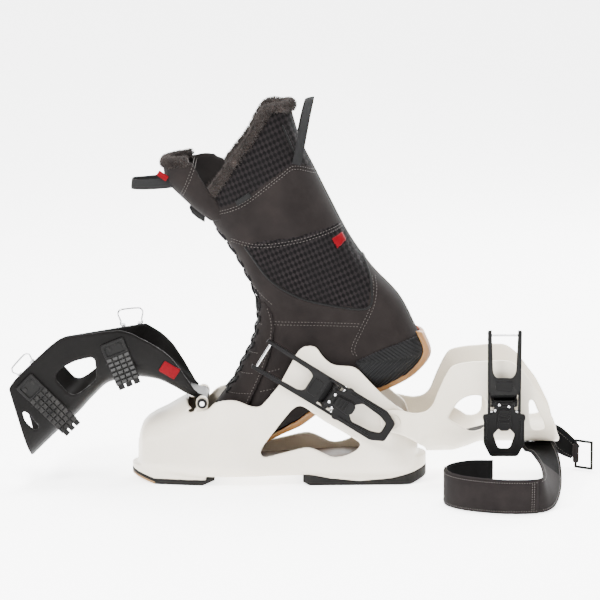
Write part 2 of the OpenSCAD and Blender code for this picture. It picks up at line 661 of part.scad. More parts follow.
lower_shell();
sole_pad_front();
toe_tip();
sole_pad_heel();
sole_screws();
boot_board();
toe_hinge_block();
toe_hinge_pin();
toe_grommets();
cuff_pivot_pins();
instep_buckle_base();
instep_base_screws();
medial_catch();
tongue_shell();
tongue_knuckle();
rack_instep();
rack_cuff();
rack_screws();
label_plate();
bail_anchors();
bail_instep();
bail_cuff();
cuff_shell();
cuff_pivot_rings();
spoiler_base();
spoiler_pad();
cuff_buckle_base();
cuff_base_screws();
cuff_catch();
power_strap();
strap_rivets();
strap_ring();
instep_lever();
instep_frame();
cuff_lever();
cuff_frame();
liner_upper();
liner_outsole();
heel_rand();
insole();
liner_tongue();
collar_fur();
liner_laces();
lace_hooks();
front_pull_loop();
rear_pull_loop();
liner_clip();
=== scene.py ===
"""Looks of an opened three-piece ski touring boot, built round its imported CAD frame.

Outlines and stations are in millimetres in the frame's own axes: +X to the heel, +Z up,
-Y the outer side. Meshes are turned to metres where they are made.
"""
import math

import bmesh
import bpy
import numpy as np
from mathutils import Matrix, Vector
from mathutils.bvhtree import BVHTree


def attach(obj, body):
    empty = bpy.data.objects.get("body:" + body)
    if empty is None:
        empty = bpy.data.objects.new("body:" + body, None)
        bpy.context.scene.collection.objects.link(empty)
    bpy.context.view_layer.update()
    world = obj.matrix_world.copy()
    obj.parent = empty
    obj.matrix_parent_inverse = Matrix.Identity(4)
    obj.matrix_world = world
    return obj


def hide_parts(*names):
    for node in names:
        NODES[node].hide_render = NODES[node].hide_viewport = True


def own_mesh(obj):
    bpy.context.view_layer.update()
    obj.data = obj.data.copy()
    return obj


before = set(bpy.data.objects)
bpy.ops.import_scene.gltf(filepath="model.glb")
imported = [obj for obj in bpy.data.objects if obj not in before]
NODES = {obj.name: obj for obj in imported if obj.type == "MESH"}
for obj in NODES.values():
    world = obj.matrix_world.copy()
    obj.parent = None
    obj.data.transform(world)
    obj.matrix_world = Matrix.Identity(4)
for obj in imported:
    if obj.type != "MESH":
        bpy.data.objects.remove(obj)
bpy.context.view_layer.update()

MM = 0.001
WIDE = 95          # further out than any side wall
NEAR, FAR = -1, 1  # the outer side of the boot and the inner one
chance = np.random.default_rng(11)

# ---------------------------------------------------------------- camera
VIEW_CENTRE = Vector((-0.0682, 0, 0.1946))
VIEW_WIDTH = 0.639
VIEW_ANGLE = math.radians(10)
VIEW_DISTANCE = 4


def make_camera():
    data = bpy.data.cameras.new("camera")
    data.sensor_width = 36
    data.lens = data.sensor_width * VIEW_DISTANCE / VIEW_WIDTH
    data.clip_end = 50
    camera = bpy.data.objects.new("camera", data)
    back = Vector((0, -math.cos(VIEW_ANGLE), math.sin(VIEW_ANGLE)))
    camera.location = VIEW_CENTRE + back * VIEW_DISTANCE
    camera.rotation_euler = (-back).to_track_quat("-Z", "Y").to_euler()
    bpy.context.scene.collection.objects.link(camera)
    bpy.context.scene.camera = camera


make_camera()


# ---------------------------------------------------------------- materials
def add(tree, kind, props=None, **inputs):
    """A new node; an input given as a socket is linked, any other is set"""
    node = tree.nodes.new(kind)
    for key, value in (props or {}).items():
        setattr(node, key, value)
    for key, value in inputs.items():
        socket = node.inputs[int(key[1:])] if key[0] == "i" and key[1:].isdigit() else node.inputs[key]
        if isinstance(value, bpy.types.NodeSocket):
            tree.links.new(value, socket)
        else:
            socket.default_value = value
    return node


def calc(tree, how, a, b=0.0):
    return add(tree, "ShaderNodeMath", {"operation": how}, i0=a, i1=b).outputs[0]


def spread(tree, value, low, high, to_low, to_high):
    return add(tree, "ShaderNodeMapRange", None, **{
        "Value": value, "From Min": low, "From Max": high, "To Min": to_low, "To Max": to_high,
    }).outputs["Result"]


def blend(tree, factor, a, b):
    node = add(tree, "ShaderNodeMix", {"data_type": "RGBA"}, i0=factor)
    for slot, value in ((6, a), (7, b)):
        if isinstance(value, bpy.types.NodeSocket):
            tree.links.new(value, node.inputs[slot])
        else:
            node.inputs[slot].default_value = (*value, 1)
    return node.outputs[2]


def noise(tree, place, scale, detail=5.0, rough=0.6):
    return add(tree, "ShaderNodeTexNoise", None, Vector=place, Scale=scale,
               Detail=detail, Roughness=rough).outputs["Fac"]


def surface(name, dark, light, rough, cloud=35, grain=900, relief=0.05, wear=None,
            pattern=None, **shader):
    """A material with clouded colour, uneven gloss and a fine grain.

    pattern(tree, place) gives a factor that darkens the colour and a height for the relief."""
    mat = bpy.data.materials.new(name)
    mat.use_nodes = True
    tree = mat.node_tree
    bsdf = tree.nodes["Principled BSDF"]
    for key, value in shader.items():
        bsdf.inputs[key.replace("_", " ")].default_value = value
    place = add(tree, "ShaderNodeTexCoord").outputs["Object"]
    clouds = spread(tree, noise(tree, place, cloud), 0.3, 0.7, 0, 1)
    fine = noise(tree, place, grain, 3.0)
    colour = blend(tree, clouds, dark, light)
    speckled = spread(tree, fine, 0.3, 0.7, 0.0, 0.35)
    colour = blend(tree, speckled, colour, tuple(c * 0.72 for c in dark))
    height = calc(tree, "MULTIPLY", fine, 0.5)
    if pattern:
        factor, bumps, shade = pattern(tree, place)
        colour = blend(tree, factor, colour, shade)
        height = calc(tree, "ADD", height, bumps)
    if wear:
        edge = add(tree, "ShaderNodeNewGeometry").outputs["Pointiness"]
        edge = spread(tree, edge, 0.52, 0.6, 0, 0.8)
        edge = calc(tree, "MULTIPLY", edge, clouds)
        colour = blend(tree, edge, colour, wear)
    tree.links.new(colour, bsdf.inputs["Base Color"])
    tree.links.new(spread(tree, clouds, 0, 1, *rough), bsdf.inputs["Roughness"])
    bump = add(tree, "ShaderNodeBump", None, Strength=1.0, Distance=relief * MM, Height=height)
    tree.links.new(bump.outputs[0], bsdf.inputs["Normal"])
    return mat


def turned(tree, place, tilt):
    """Coordinates across and along a direction in the X-Z plane"""
    moved = add(tree, "ShaderNodeMapping", None, Vector=place, Rotation=(0, math.radians(tilt), 0))
    parts = add(tree, "ShaderNodeSeparateXYZ", None, Vector=moved.outputs[0])
    return parts.outputs[0], parts.outputs[1], parts.outputs[2]


def wave(tree, value, period):
    return calc(tree, "SINE", calc(tree, "MULTIPLY", value, 2 * math.pi / (period * MM)))


def diamond_mesh(tree, place):
    across, _, along = turned(tree, place, 24)
    cells = calc(tree, "ADD", wave(tree, across, 4.6), wave(tree, along, 6.4))
    bumps = spread(tree, cells, -0.9, 0.9, 0, 1)
    thread = calc(tree, "MULTIPLY", wave(tree, across, 0.9), wave(tree, along, 0.9))
    height = calc(tree, "ADD", calc(tree, "MULTIPLY", bumps, 4.0), calc(tree, "MULTIPLY", thread, 0.3))
    return calc(tree, "SUBTRACT", 1.0, bumps), height, (0.0012, 0.001, 0.0011)


def webbing_weave(tree, place):
    across, deep, along = turned(tree, place, 0)
    rib = wave(tree, calc(tree, "ADD", across, calc(tree, "ADD", deep, along)), 1.6)
    return spread(tree, rib, -1, 1, 0, 0.5), calc(tree, "MULTIPLY", rib, 0.8), (0.01, 0.01, 0.011)


def brushed(tree, place):
    stretched = add(tree, "ShaderNodeMapping", None, Vector=place, Scale=(1, 1, 12)).outputs[0]
    lines = noise(tree, stretched, 500, 2.0)
    return calc(tree, "MULTIPLY", lines, 0.25), lines, (0.2, 0.2, 0.21)


WARM_WHITE = dict(dark=(0.56, 0.505, 0.415), light=(0.64, 0.585, 0.495))
MATERIALS = {
    "shell": surface("shell_plastic", rough=(0.33, 0.42), cloud=14, grain=1400, relief=0.02,
                     wear=(0.6, 0.55, 0.46), Coat_Weight=0.12, Coat_Roughness=0.25, **WARM_WHITE),
    "cuff": surface("cuff_plastic", rough=(0.33, 0.42), cloud=14, grain=1400, relief=0.02,
                    wear=(0.6, 0.55, 0.46), Coat_Weight=0.12, Coat_Roughness=0.25,
                    dark=(0.56, 0.5, 0.4), light=(0.64, 0.585, 0.485)),
    "tongue": surface("tongue_plastic", (0.002, 0.0018, 0.0017), (0.004, 0.0036, 0.0034), (0.36, 0.48),
                      cloud=25, grain=1800, relief=0.03, wear=(0.01, 0.0094, 0.009),
                      Specular_IOR_Level=0.06),
    "black": surface("buckle_black", (0.0016, 0.0015, 0.0015), (0.0032, 0.003, 0.003), (0.3, 0.42),
                     cloud=60, grain=1600, relief=0.03, wear=(0.012, 0.0115, 0.011),
                     Specular_IOR_Level=0.08),
    "rack": surface("rack_black", (0.002, 0.0019, 0.0018), (0.004, 0.0038, 0.0036), (0.36, 0.48),
                    cloud=70, grain=1500, relief=0.02, wear=(0.02, 0.019, 0.018),
                    Specular_IOR_Level=0.1),
    "steel": surface("steel", (0.55, 0.55, 0.56), (0.75, 0.75, 0.76), (0.16, 0.3), cloud=120,
                     grain=2500, relief=0.01, pattern=brushed, Metallic=1.0),
    "rivet": surface("painted_rivet", (0.42, 0.37, 0.29), (0.5, 0.45, 0.36), (0.3, 0.4),
                     cloud=90, grain=1800, relief=0.02, wear=(0.56, 0.52, 0.44)),
    "hinge": surface("hinge_beige", (0.34, 0.29, 0.22), (0.42, 0.37, 0.29), (0.38, 0.5),
                     cloud=80, grain=1500, relief=0.03, wear=(0.5, 0.45, 0.37)),
    "sole": surface("sole_rubber", (0.003, 0.0028, 0.0026), (0.007, 0.0064, 0.006), (0.6, 0.8),
                    cloud=90, grain=1300, relief=0.08, wear=(0.02, 0.018, 0.016),
                    Specular_IOR_Level=0.12),
    "tan": surface("tan_rubber", (0.15, 0.08, 0.026), (0.23, 0.125, 0.042), (0.5, 0.7), cloud=80,
                   grain=1200, relief=0.05),
    "board": surface("board_brown", (0.035, 0.019, 0.0075), (0.085, 0.049, 0.02), (0.45, 0.65),
                     cloud=40, grain=800, relief=0.08),
    "red": surface("label_red", (0.085, 0.0001, 0.0022), (0.12, 0.0002, 0.0042), (0.4, 0.52), cloud=150,
                   grain=2200, relief=0.02, Specular_IOR_Level=0.05),
    "suede": surface("liner_suede", (0.0062, 0.0049, 0.0047), (0.012, 0.0097, 0.0092), (0.85, 0.97),
                     cloud=38, grain=1500, relief=0.11, Sheen_Weight=0.02, Sheen_Roughness=0.5,
                     Specular_IOR_Level=0.06),
    "mesh": surface("liner_mesh", (0.0062, 0.0052, 0.0054), (0.0105, 0.0086, 0.0089), (0.7, 0.85),
                    cloud=50, grain=2200, relief=0.16, pattern=diamond_mesh,
                    Specular_IOR_Level=0.06),
    "lining": surface("dark_lining", (0.0062, 0.005, 0.0047), (0.012, 0.0096, 0.009), (0.85, 0.95),
                      cloud=60, grain=700, relief=0.3, Specular_IOR_Level=0.2),
    "piping": surface("black_piping", (0.002, 0.002, 0.002), (0.0042, 0.0042, 0.0042), (0.5, 0.65),
                      cloud=120, grain=2500, relief=0.05, Specular_IOR_Level=0.12),
    "thread": surface("stitch_thread", (0.026, 0.022, 0.019), (0.055, 0.047, 0.041), (0.6, 0.8),
                      cloud=300, grain=4000, relief=0.05),
    "fur": surface("fur_taupe", (0.0115, 0.0088, 0.0078), (0.042, 0.033, 0.029), (0.8, 0.95),
                   cloud=130, grain=1800, relief=0.25, Sheen_Weight=0.08, Sheen_Roughness=0.4,
                   Specular_IOR_Level=0.1),
    "rand": surface("heel_rand_rubber", (0.0016, 0.0016, 0.0017), (0.0034, 0.0034, 0.0036), (0.4, 0.55),
                    cloud=70, grain=1500, relief=0.04, wear=(0.012, 0.012, 0.013),
                    Specular_IOR_Level=0.1),
    "gum": surface("outsole_gum", (0.15, 0.062, 0.012), (0.22, 0.1, 0.024), (0.38, 0.55), cloud=45,
                   grain=1100, relief=0.06, Subsurface_Weight=0.12),
    "webbing": surface("pull_webbing", (0.0045, 0.0045, 0.0045), (0.009, 0.0088, 0.0087), (0.65, 0.8),
                       cloud=90, grain=2000, relief=0.12, pattern=webbing_weave,
                       Specular_IOR_Level=0.1),
    "strap": surface("strap_suede", (0.0062, 0.005, 0.0049), (0.012, 0.0099, 0.0096), (0.85, 0.97),
                     cloud=55, grain=1600, relief=0.12, Sheen_Weight=0.02, Sheen_Roughness=0.5,
                     Specular_IOR_Level=0.06),
    "loop": surface("strap_inner", (0.002, 0.002, 0.002), (0.004, 0.004, 0.004), (0.85, 0.97),
                    cloud=80, grain=1200, relief=0.2, Specular_IOR_Level=0.05),
}


# ---------------------------------------------------------------- mesh tools
def new_piece(name, verts, faces, material, smooth=True):
    """A mesh piece from points in millimetres"""
    mesh = bpy.data.meshes.new(name)
    mesh.from_pydata((np.array(verts, float) * MM).tolist(), [], [tuple(f) for f in faces])
    mesh.update()
    ob = bpy.data.objects.new(name, mesh)
    bpy.context.scene.collection.objects.link(ob)
    mesh.materials.append(MATERIALS[material])
    mesh.polygons.foreach_set("use_smooth", [smooth] * len(mesh.polygons))
    return ob


def settle(ob):
    """Applies every modifier"""
    bpy.context.view_layer.update()
    depsgraph = bpy.context.evaluated_depsgraph_get()
    mesh = bpy.data.meshes.new_from_object(ob.evaluated_get(depsgraph))
    ob.modifiers.clear()
    ob.data = mesh
    return ob


def face_outwards(ob):
    bm = bmesh.new()
    bm.from_mesh(ob.data)
    bmesh.ops.remove_doubles(bm, verts=bm.verts, dist=1e-6)
    bmesh.ops.recalc_face_normals(bm, faces=bm.faces)
    bm.to_mesh(ob.data)
    bm.free()
    return ob


def combine(ob, tool, how="DIFFERENCE"):
    """Cuts, adds or keeps by another closed body, which is used up"""
    mod = ob.modifiers.new("combine", "BOOLEAN")
    mod.operation, mod.object, mod.solver = how, tool, "MANIFOLD"
    settle(ob)
    bpy.data.objects.remove(tool)
    return ob


def moulded(ob, voxel, rounds, shrink=None):
    """Remeshes a body evenly and softens its edges, as a moulding's are"""
    mod = ob.modifiers.new("even", "REMESH")
    mod.mode, mod.voxel_size = "VOXEL", voxel * MM
    soft = ob.modifiers.new("soft", "SMOOTH")
    soft.factor, soft.iterations = 0.5, rounds
    if shrink:
        thin = ob.modifiers.new("thin", "DECIMATE")
        thin.ratio = shrink
    settle(ob)
    ob.data.polygons.foreach_set("use_smooth", [True] * len(ob.data.polygons))
    return ob


def join(parts, name):
    with bpy.context.temp_override(active_object=parts[0], selected_editable_objects=parts):
        bpy.ops.object.join()
    parts[0].name = name
    return parts[0]


def rounded(points, radius=1e9, steps=4):
    """A closed outline with each corner eased over radius, or over half of each side"""
    points = [np.array(p, float) for p in points]
    out = []
    for i, p in enumerate(points):
        a, b = points[i - 1], points[(i + 1) % len(points)]
        start = p + (a - p) * min(radius / np.linalg.norm(a - p), 0.5)
        end = p + (b - p) * min(radius / np.linalg.norm(b - p), 0.5)
        for t in np.linspace(0, 1, steps + 1):
            q = (1 - t) ** 2 * start + 2 * t * (1 - t) * p + t * t * end
            if not out or np.linalg.norm(q - out[-1]) > 1e-6:
                out.append(q)
    if np.linalg.norm(out[0] - out[-1]) < 1e-6:
        out.pop()
    return out


def through(points, step):
    """Points step apart on a smooth curve through points, in any number of dimensions"""
    p = np.array(points, float)
    padded = np.vstack([2 * p[0] - p[1], p, 2 * p[-1] - p[-2]])
    dense = []
    for i in range(len(p) - 1):
        a, b, c, d = padded[i:i + 4]
        for t in np.linspace(0, 1, 24, endpoint=False):
            dense.append(0.5 * (2 * b + (c - a) * t + (2 * a - 5 * b + 4 * c - d) * t * t
                                + (3 * b - a - 3 * c + d) * t ** 3))
    dense = np.array(dense + [p[-1]])
    run = np.concatenate([[0], np.cumsum(np.linalg.norm(np.diff(dense, axis=0), axis=1))])
    at = np.linspace(0, run[-1], max(2, int(run[-1] / step) + 1))
    return np.array([np.interp(at, run, dense[:, k]) for k in range(p.shape[1])]).T


def prism(outline, y0=-WIDE, y1=WIDE):
    """An X-Z outline pushed across the boot"""
    n = len(outline)
    verts = [(p[0], y, p[1]) for y in (y0, y1) for p in outline]
    faces = [list(range(n)), list(range(2 * n - 1, n - 1, -1))]
    faces += [[i, i + n, (i + 1) % n + n, (i + 1) % n] for i in range(n)]
    return face_outwards(new_piece("prism", verts, faces, "black"))


def hull_block(plan, z0, z1):
    """The convex hull of a plan outline, from z0 to z1"""
    bm = bmesh.new()
    for z in (z0, z1):
        for x, y in plan:
            bm.verts.new((x * MM, y * MM, z * MM))
    bmesh.ops.convex_hull(bm, input=bm.verts)
    mesh = bpy.data.meshes.new("hull")
    bm.to_mesh(mesh)
    bm.free()
    ob = bpy.data.objects.new("hull", mesh)
    bpy.context.scene.collection.objects.link(ob)
    mesh.materials.append(MATERIALS["black"])
    return face_outwards(ob)


def disc(x, y, radius, count=40):
    turns = np.linspace(0, 2 * math.pi, count, endpoint=False)
    return [(x + radius * math.cos(t), y + radius * math.sin(t)) for t in turns]


def even_rows(rows, count):
    """Stations spread evenly along a loft, eased between the given ones with no overshoot"""
    rows = np.array(rows, float)
    middle = (rows[:, 0:2] + rows[:, 2:4]) / 2
    gaps = np.maximum(np.linalg.norm(np.diff(middle, axis=0), axis=1), 1e-3)
    run = np.concatenate([[0], np.cumsum(gaps)])
    slope = np.diff(rows, axis=0) / gaps[:, None]
    tangent = np.zeros_like(rows)
    tangent[0], tangent[-1] = slope[0], slope[-1]
    a, b = slope[:-1], slope[1:]
    same = a * b > 0
    tangent[1:-1][same] = (2 * a * b)[same] / (a + b)[same]
    at = np.linspace(0, run[-1], count)
    i = np.clip(np.searchsorted(run, at, side="right") - 1, 0, len(gaps) - 1)
    t = ((at - run[i]) / gaps[i])[:, None]
    h = gaps[i][:, None]
    return ((2 * t**3 - 3 * t**2 + 1) * rows[i] + (t**3 - 2 * t**2 + t) * h * tangent[i]
            + (3 * t**2 - 2 * t**3) * rows[i + 1] + (t**3 - t**2) * h * tangent[i + 1])


def ring(row, count, grow=0.0):
    """Points round one station, from the middle of its foot edge"""
    fx, fz, hx, hz, wide_foot, wide_head, r_foot, r_head, shift = row
    reach = math.hypot(hx - fx, hz - fz)
    wf, wh = wide_foot + grow, wide_head + grow
    rf, rh = max(r_foot + grow, 1), max(r_head + grow, 1)
    low, high = -grow, reach + grow
    line = [(shift, low)]
    for cy, cz, r, turn in ((shift + wf - rf, low + rf, rf, 270), (shift + wh - rh, high - rh, rh, 0),
                            (shift - wh + rh, high - rh, rh, 90), (shift - wf + rf, low + rf, rf, 180)):
        for k in range(9):
            a = math.radians(turn + 90 * k / 8)
            line.append((cy + r * math.cos(a), cz + r * math.sin(a)))
    line.append((shift, low))
    line = np.array(line)
    run = np.concatenate([[0], np.cumsum(np.linalg.norm(np.diff(line, axis=0), axis=1))])
    at = np.linspace(0, run[-1], count, endpoint=False)
    y = np.interp(at, run, line[:, 0])
    z = np.interp(at, run, line[:, 1])
    ux, uz = (hx - fx) / reach, (hz - fz) / reach
    return np.stack([fx + z * ux, y, fz + z * uz], 1)


def loft(name, rows, material, count=60, around=96, grow=0.0):
    """A closed body over the stations"""
    rings = [ring(r, around, grow) for r in even_rows(rows, count)]
    faces = []
    for i in range(count - 1):
        for j in range(around):
            k = (j + 1) % around
            faces.append([i * around + j, i * around + k, (i + 1) * around + k, (i + 1) * around + j])
    faces.append(list(range(around)))
    faces.append(list(range(count * around - 1, (count - 1) * around - 1, -1)))
    return face_outwards(new_piece(name, np.vstack(rings), faces, material))


def frames_along(path):
    """Unit tangents and two normals carried along a path without twist"""
    tangent = np.gradient(path, axis=0)
    tangent /= np.linalg.norm(tangent, axis=1)[:, None]
    normal = np.cross(tangent[0], (0.3, 0.2, 1.0))
    sides = []
    for t in tangent:
        normal = normal - t * (normal @ t)
        normal /= np.linalg.norm(normal)
        sides.append(normal)
    sides = np.array(sides)
    return tangent, sides, np.cross(tangent, sides)


def tube(name, path, radius, material, sides=10):
    """A round tube with closed ends; radius is one number or one for each point"""
    path = np.array(path, float)
    _, a, b = frames_along(path)
    radius = np.broadcast_to(np.array(radius, float), len(path))
    turns = np.linspace(0, 2 * math.pi, sides, endpoint=False)
    verts = np.vstack([p + r * (np.cos(turns)[:, None] * u + np.sin(turns)[:, None] * v)
                       for p, r, u, v in zip(path, radius, a, b)])
    faces = []
    for i in range(len(path) - 1):
        for j in range(sides):
            k = (j + 1) % sides
            faces.append([i * sides + j, i * sides + k, (i + 1) * sides + k, (i + 1) * sides + j])
    faces += [list(range(sides)), list(range(len(verts) - 1, len(verts) - 1 - sides, -1))]
    return face_outwards(new_piece(name, verts, faces, material))


def beside(x, y, z, slope):
    """Where a plate on a side wall lies: x along it, z across it, outward is -Y"""
    return Matrix.Translation(Vector((x, y, z)) * MM) @ Matrix.Rotation(math.radians(slope), 4, "Y")


def plate(outline, holes, out, thick, material, soft=0.6, place=Matrix.Identity(4)):
    """A flat moulding with eased edges: its outer face stands out by out from the place"""
    data = bpy.data.curves.new("plate", "CURVE")
    data.dimensions, data.fill_mode = "2D", "BOTH"
    data.extrude = (thick / 2 - soft) * MM
    data.bevel_depth, data.bevel_resolution, data.offset = soft * MM, 2, -soft * MM
    for line in [outline, *holes]:
        spline = data.splines.new("POLY")
        spline.points.add(len(line) - 1)
        for point, (x, z) in zip(spline.points, line):
            point.co = (x * MM, z * MM, 0, 1)
        spline.use_cyclic_u = True
    curve = bpy.data.objects.new("plate", data)
    bpy.context.scene.collection.objects.link(curve)
    bpy.context.view_layer.update()
    mesh = bpy.data.meshes.new_from_object(
        curve.evaluated_get(bpy.context.evaluated_depsgraph_get()))
    bpy.data.objects.remove(curve)
    lay = Matrix.Translation((0, -(out - thick / 2) * MM, 0)) @ Matrix.Rotation(math.pi / 2, 4, "X")
    mesh.transform(place @ lay)
    mesh.materials.clear()
    mesh.materials.append(MATERIALS[material])
    ob = bpy.data.objects.new("plate", mesh)
    bpy.context.scene.collection.objects.link(ob)
    face_outwards(ob)
    mesh.polygons.foreach_set("use_smooth", [False] * len(mesh.polygons))
    return ob


def box_line(x0, x1, z0, z1, radius=1.5):
    return rounded([(x0, z0), (x1, z0), (x1, z1), (x0, z1)], radius)


def tree_of(ob):
    mesh = ob.data
    return BVHTree.FromPolygons([v.co for v in mesh.vertices], [p.vertices for p in mesh.polygons])


def on_side(tree, x, z, side, lift=0.0):
    """The surface point at x, z as seen from one side, raised by lift; all in millimetres"""
    hit, normal, _, _ = tree.ray_cast(Vector((x, side * 200, z)) * MM, Vector((0, -side, 0)))
    if hit is None:
        return None
    return np.array(hit) / MM + np.array(normal) * lift


def drawn_on(tree, line, side, step, lift):
    """A side-view line laid on the surface"""
    found = [on_side(tree, x, z, side, lift) for x, z in through(line, step)]
    return np.array([p for p in found if p is not None])


def dashes(name, paths, pitch=3.5, length=2.1, radius=0.34, material="thread"):
    """Stitches: short rounded threads along each path"""
    verts, faces = [], []
    turns = np.linspace(0, 2 * math.pi, 5, endpoint=False)
    for path in paths:
        if len(path) < 3:
            continue
        run = np.concatenate([[0], np.cumsum(np.linalg.norm(np.diff(path, axis=0), axis=1))])
        for s in np.arange(pitch / 2, run[-1] - length, pitch):
            a, b = (np.array([np.interp(v, run, path[:, k]) for k in range(3)]) for v in (s, s + length))
            along = (b - a) / np.linalg.norm(b - a)
            u = np.cross(along, (0.2, 0.9, 0.3))
            u /= np.linalg.norm(u)
            v = np.cross(along, u)
            first = len(verts)
            verts.append(a)
            for q in (a + along * 0.35, b - along * 0.35):
                verts += [q + radius * (math.cos(t) * u + math.sin(t) * v) for t in turns]
            verts.append(b)
            for j in range(5):
                k = (j + 1) % 5
                faces.append([first, first + 1 + k, first + 1 + j])
                faces.append([first + 1 + j, first + 1 + k, first + 6 + k, first + 6 + j])
                faces.append([first + 11, first + 6 + j, first + 6 + k])
    return new_piece(name, verts, faces, material)


def strands(name, roots, lean, length, radius, material):
    """Fur: a bent tapering hair at each root, given as points and directions"""
    roots, lean = np.array(roots), np.array(lean)
    n = len(roots)
    lean = lean + chance.normal(0, 0.38, (n, 3))
    lean /= np.linalg.norm(lean, axis=1)[:, None]
    bend = lean + chance.normal(0, 0.45, (n, 3))
    bend /= np.linalg.norm(bend, axis=1)[:, None]
    long = length * chance.uniform(0.65, 1.15, (n, 1))
    middle = roots + lean * long * 0.55
    tip = middle + bend * long * 0.45
    u = np.cross(lean, (0.31, 0.52, 0.79))
    u /= np.linalg.norm(u, axis=1)[:, None]
    v = np.cross(lean, u)
    verts = np.zeros((n, 7, 3))
    for k in range(3):
        turn = 2 * math.pi * k / 3
        around = radius * (math.cos(turn) * u + math.sin(turn) * v)
        verts[:, k] = roots + around
        verts[:, 3 + k] = middle + around * 0.75
    verts[:, 6] = tip
    one = [[2, 1, 0]] + [[k, (k + 1) % 3, 3 + (k + 1) % 3, 3 + k] for k in range(3)]
    one += [[3 + k, 3 + (k + 1) % 3, 6] for k in range(3)]
    faces = [[i * 7 + j for j in f] for i in range(n) for f in one]
    return new_piece(name, verts.reshape(-1, 3), faces, material)


def puffed(ob, held, pressure, cap, frames=14):
    """Inflates a padded form by cloth simulation, with the held points pinned along its seams"""
    mesh = ob.data
    before = np.zeros(len(mesh.vertices) * 3)
    mesh.vertices.foreach_get("co", before)
    group = ob.vertex_groups.new(name="held")
    group.add([int(i) for i in held], 1.0, "REPLACE")
    cloth = ob.modifiers.new("cloth", "CLOTH")
    rules = cloth.settings
    rules.use_pressure, rules.uniform_pressure_force = True, pressure
    rules.vertex_group_mass = "held"
    rules.effector_weights.gravity = 0
    rules.tension_stiffness = rules.compression_stiffness = 12
    rules.bending_stiffness = 0.4
    rules.quality = 4
    cloth.point_cache.frame_start, cloth.point_cache.frame_end = 1, frames
    scene = bpy.context.scene
    for f in range(1, frames + 1):
        scene.frame_set(f)
    puffy = ob.evaluated_get(bpy.context.evaluated_depsgraph_get()).data
    after = np.zeros(len(before))
    puffy.vertices.foreach_get("co", after)
    ob.modifiers.clear()
    ob.vertex_groups.clear()
    scene.frame_set(1)
    move = (after - before).reshape(-1, 3)
    far = np.linalg.norm(move, axis=1)[:, None]
    move *= np.minimum(1, cap * MM / np.maximum(far, 1e-9))
    mesh.vertices.foreach_set("co", (before.reshape(-1, 3) + move).ravel())
    mesh.update()
    return ob


def inside(outline, x, z):
    """Which of the points x, z lie inside an outline"""
    found = np.zeros(len(x), bool)
    points = np.array(outline, float)
    for (x0, z0), (x1, z1) in zip(points, np.roll(points, -1, axis=0)):
        if z0 == z1:
            continue
        crosses = (z0 > z) != (z1 > z)
        found ^= crosses & (x < (x1 - x0) * (z - z0) / (z1 - z0) + x0)
    return found


def draped_patch(name, skin, outline, side, spacing, height, material, thick=1.6):
    """A thin piece lying on a surface inside a side-view outline; height(x, z) shapes its face"""
    points = np.array(outline, float)
    xs = np.arange(points[:, 0].min(), points[:, 0].max() + spacing, spacing)
    zs = np.arange(points[:, 1].min(), points[:, 1].max() + spacing, spacing)
    index, verts = {}, []
    for i, x in enumerate(xs):
        for j in np.nonzero(inside(outline, np.full(len(zs), x), zs))[0]:
            p = on_side(skin, x, zs[j], side, height(x, zs[j]))
            if p is not None:
                index[i, int(j)] = len(verts)
                verts.append(p)
    cells = [[(i, j), (i + 1, j), (i + 1, j + 1), (i, j + 1)] for i, j in index]
    faces = [[index[c] for c in corners] for corners in cells if all(c in index for c in corners)]
    if side == FAR:
        faces = [f[::-1] for f in faces]
    ob = new_piece(name, verts, faces, material)
    solid = ob.modifiers.new("solid", "SOLIDIFY")
    solid.thickness, solid.offset = thick * MM, -1
    return settle(ob)


def finished(ob, body, slot, *replaced):
    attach(ob, body)
    if replaced:
        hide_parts(*replaced)
    return ob


# ---------------------------------------------------------------- stations and outlines
def upright(x, shift, foot, head, z0, z1, r0, r1):
    return [x, z0, x, z1, foot, head, r0, r1, shift]


def round_slice(bx, bz, fx, fz, w, shift=0.0):
    r = 0.94 * min(w, math.hypot(fx - bx, fz - bz) / 2)
    return [bx, bz, fx, fz, w, w, r, r, shift]


SHELL_ROWS = [
    upright(-241.5, 8, 14, 10, 20, 42, 7, 9), upright(-240, 8, 20, 16, 17, 50, 8, 12),
    upright(-236, 8, 29, 24, 12, 61, 10, 18), upright(-226, 8, 37, 31, 10, 70, 12, 24),
    upright(-210, 7, 43, 37, 10, 78, 14, 28), upright(-190, 5, 48, 41, 10, 89.5, 14, 30),
    upright(-170, 2, 51, 44, 10, 99, 14, 30), upright(-145, 0, 52, 46, 10, 122, 14, 20),
    upright(-115, 0, 49, 43, 10, 150, 14, 12), upright(-95, 0, 45, 41.8, 10, 165, 14, 10),
    upright(-60, 0, 42.5, 41.6, 10, 170, 14, 10), upright(-20, 0, 42, 41.5, 10, 165, 14, 10),
    upright(20, 0, 41, 41, 10, 150, 14, 10), upright(42, 0, 36, 36, 10, 130, 14, 10),
    upright(53, 0, 27, 27, 11, 120, 14, 10), upright(57.5, 0, 17, 17, 15, 110, 12, 10)]
SHELL_WALL = 3.6
RIM = [(-188, 84), (-180, 82.5), (-165, 82.5), (-160, 91), (-147, 95), (-136, 95), (-118, 87.3),
       (-110, 87.5), (-103, 95), (-90, 111), (-71, 146), (-64, 152.5), (-51, 152.5), (-45, 141.5),
       (-34, 131.6), (-10, 130.5), (1, 119), (20, 99), (35, 86), (45, 80), (50, 64), (54, 49),
       (68, 47), (75, 47), (75, 240), (-188, 240)]
SHELL_WINDOW = [(-110, 38), (-109, 43), (-79, 81.5), (-72, 87.5), (-65, 88), (-44, 72), (-20, 58),
                (-5, 48.5), (-4, 45), (-8.5, 39), (-22, 33), (-34, 32), (-41.5, 36), (-56, 43),
                (-64, 43), (-102, 33.5), (-108, 33.5)]
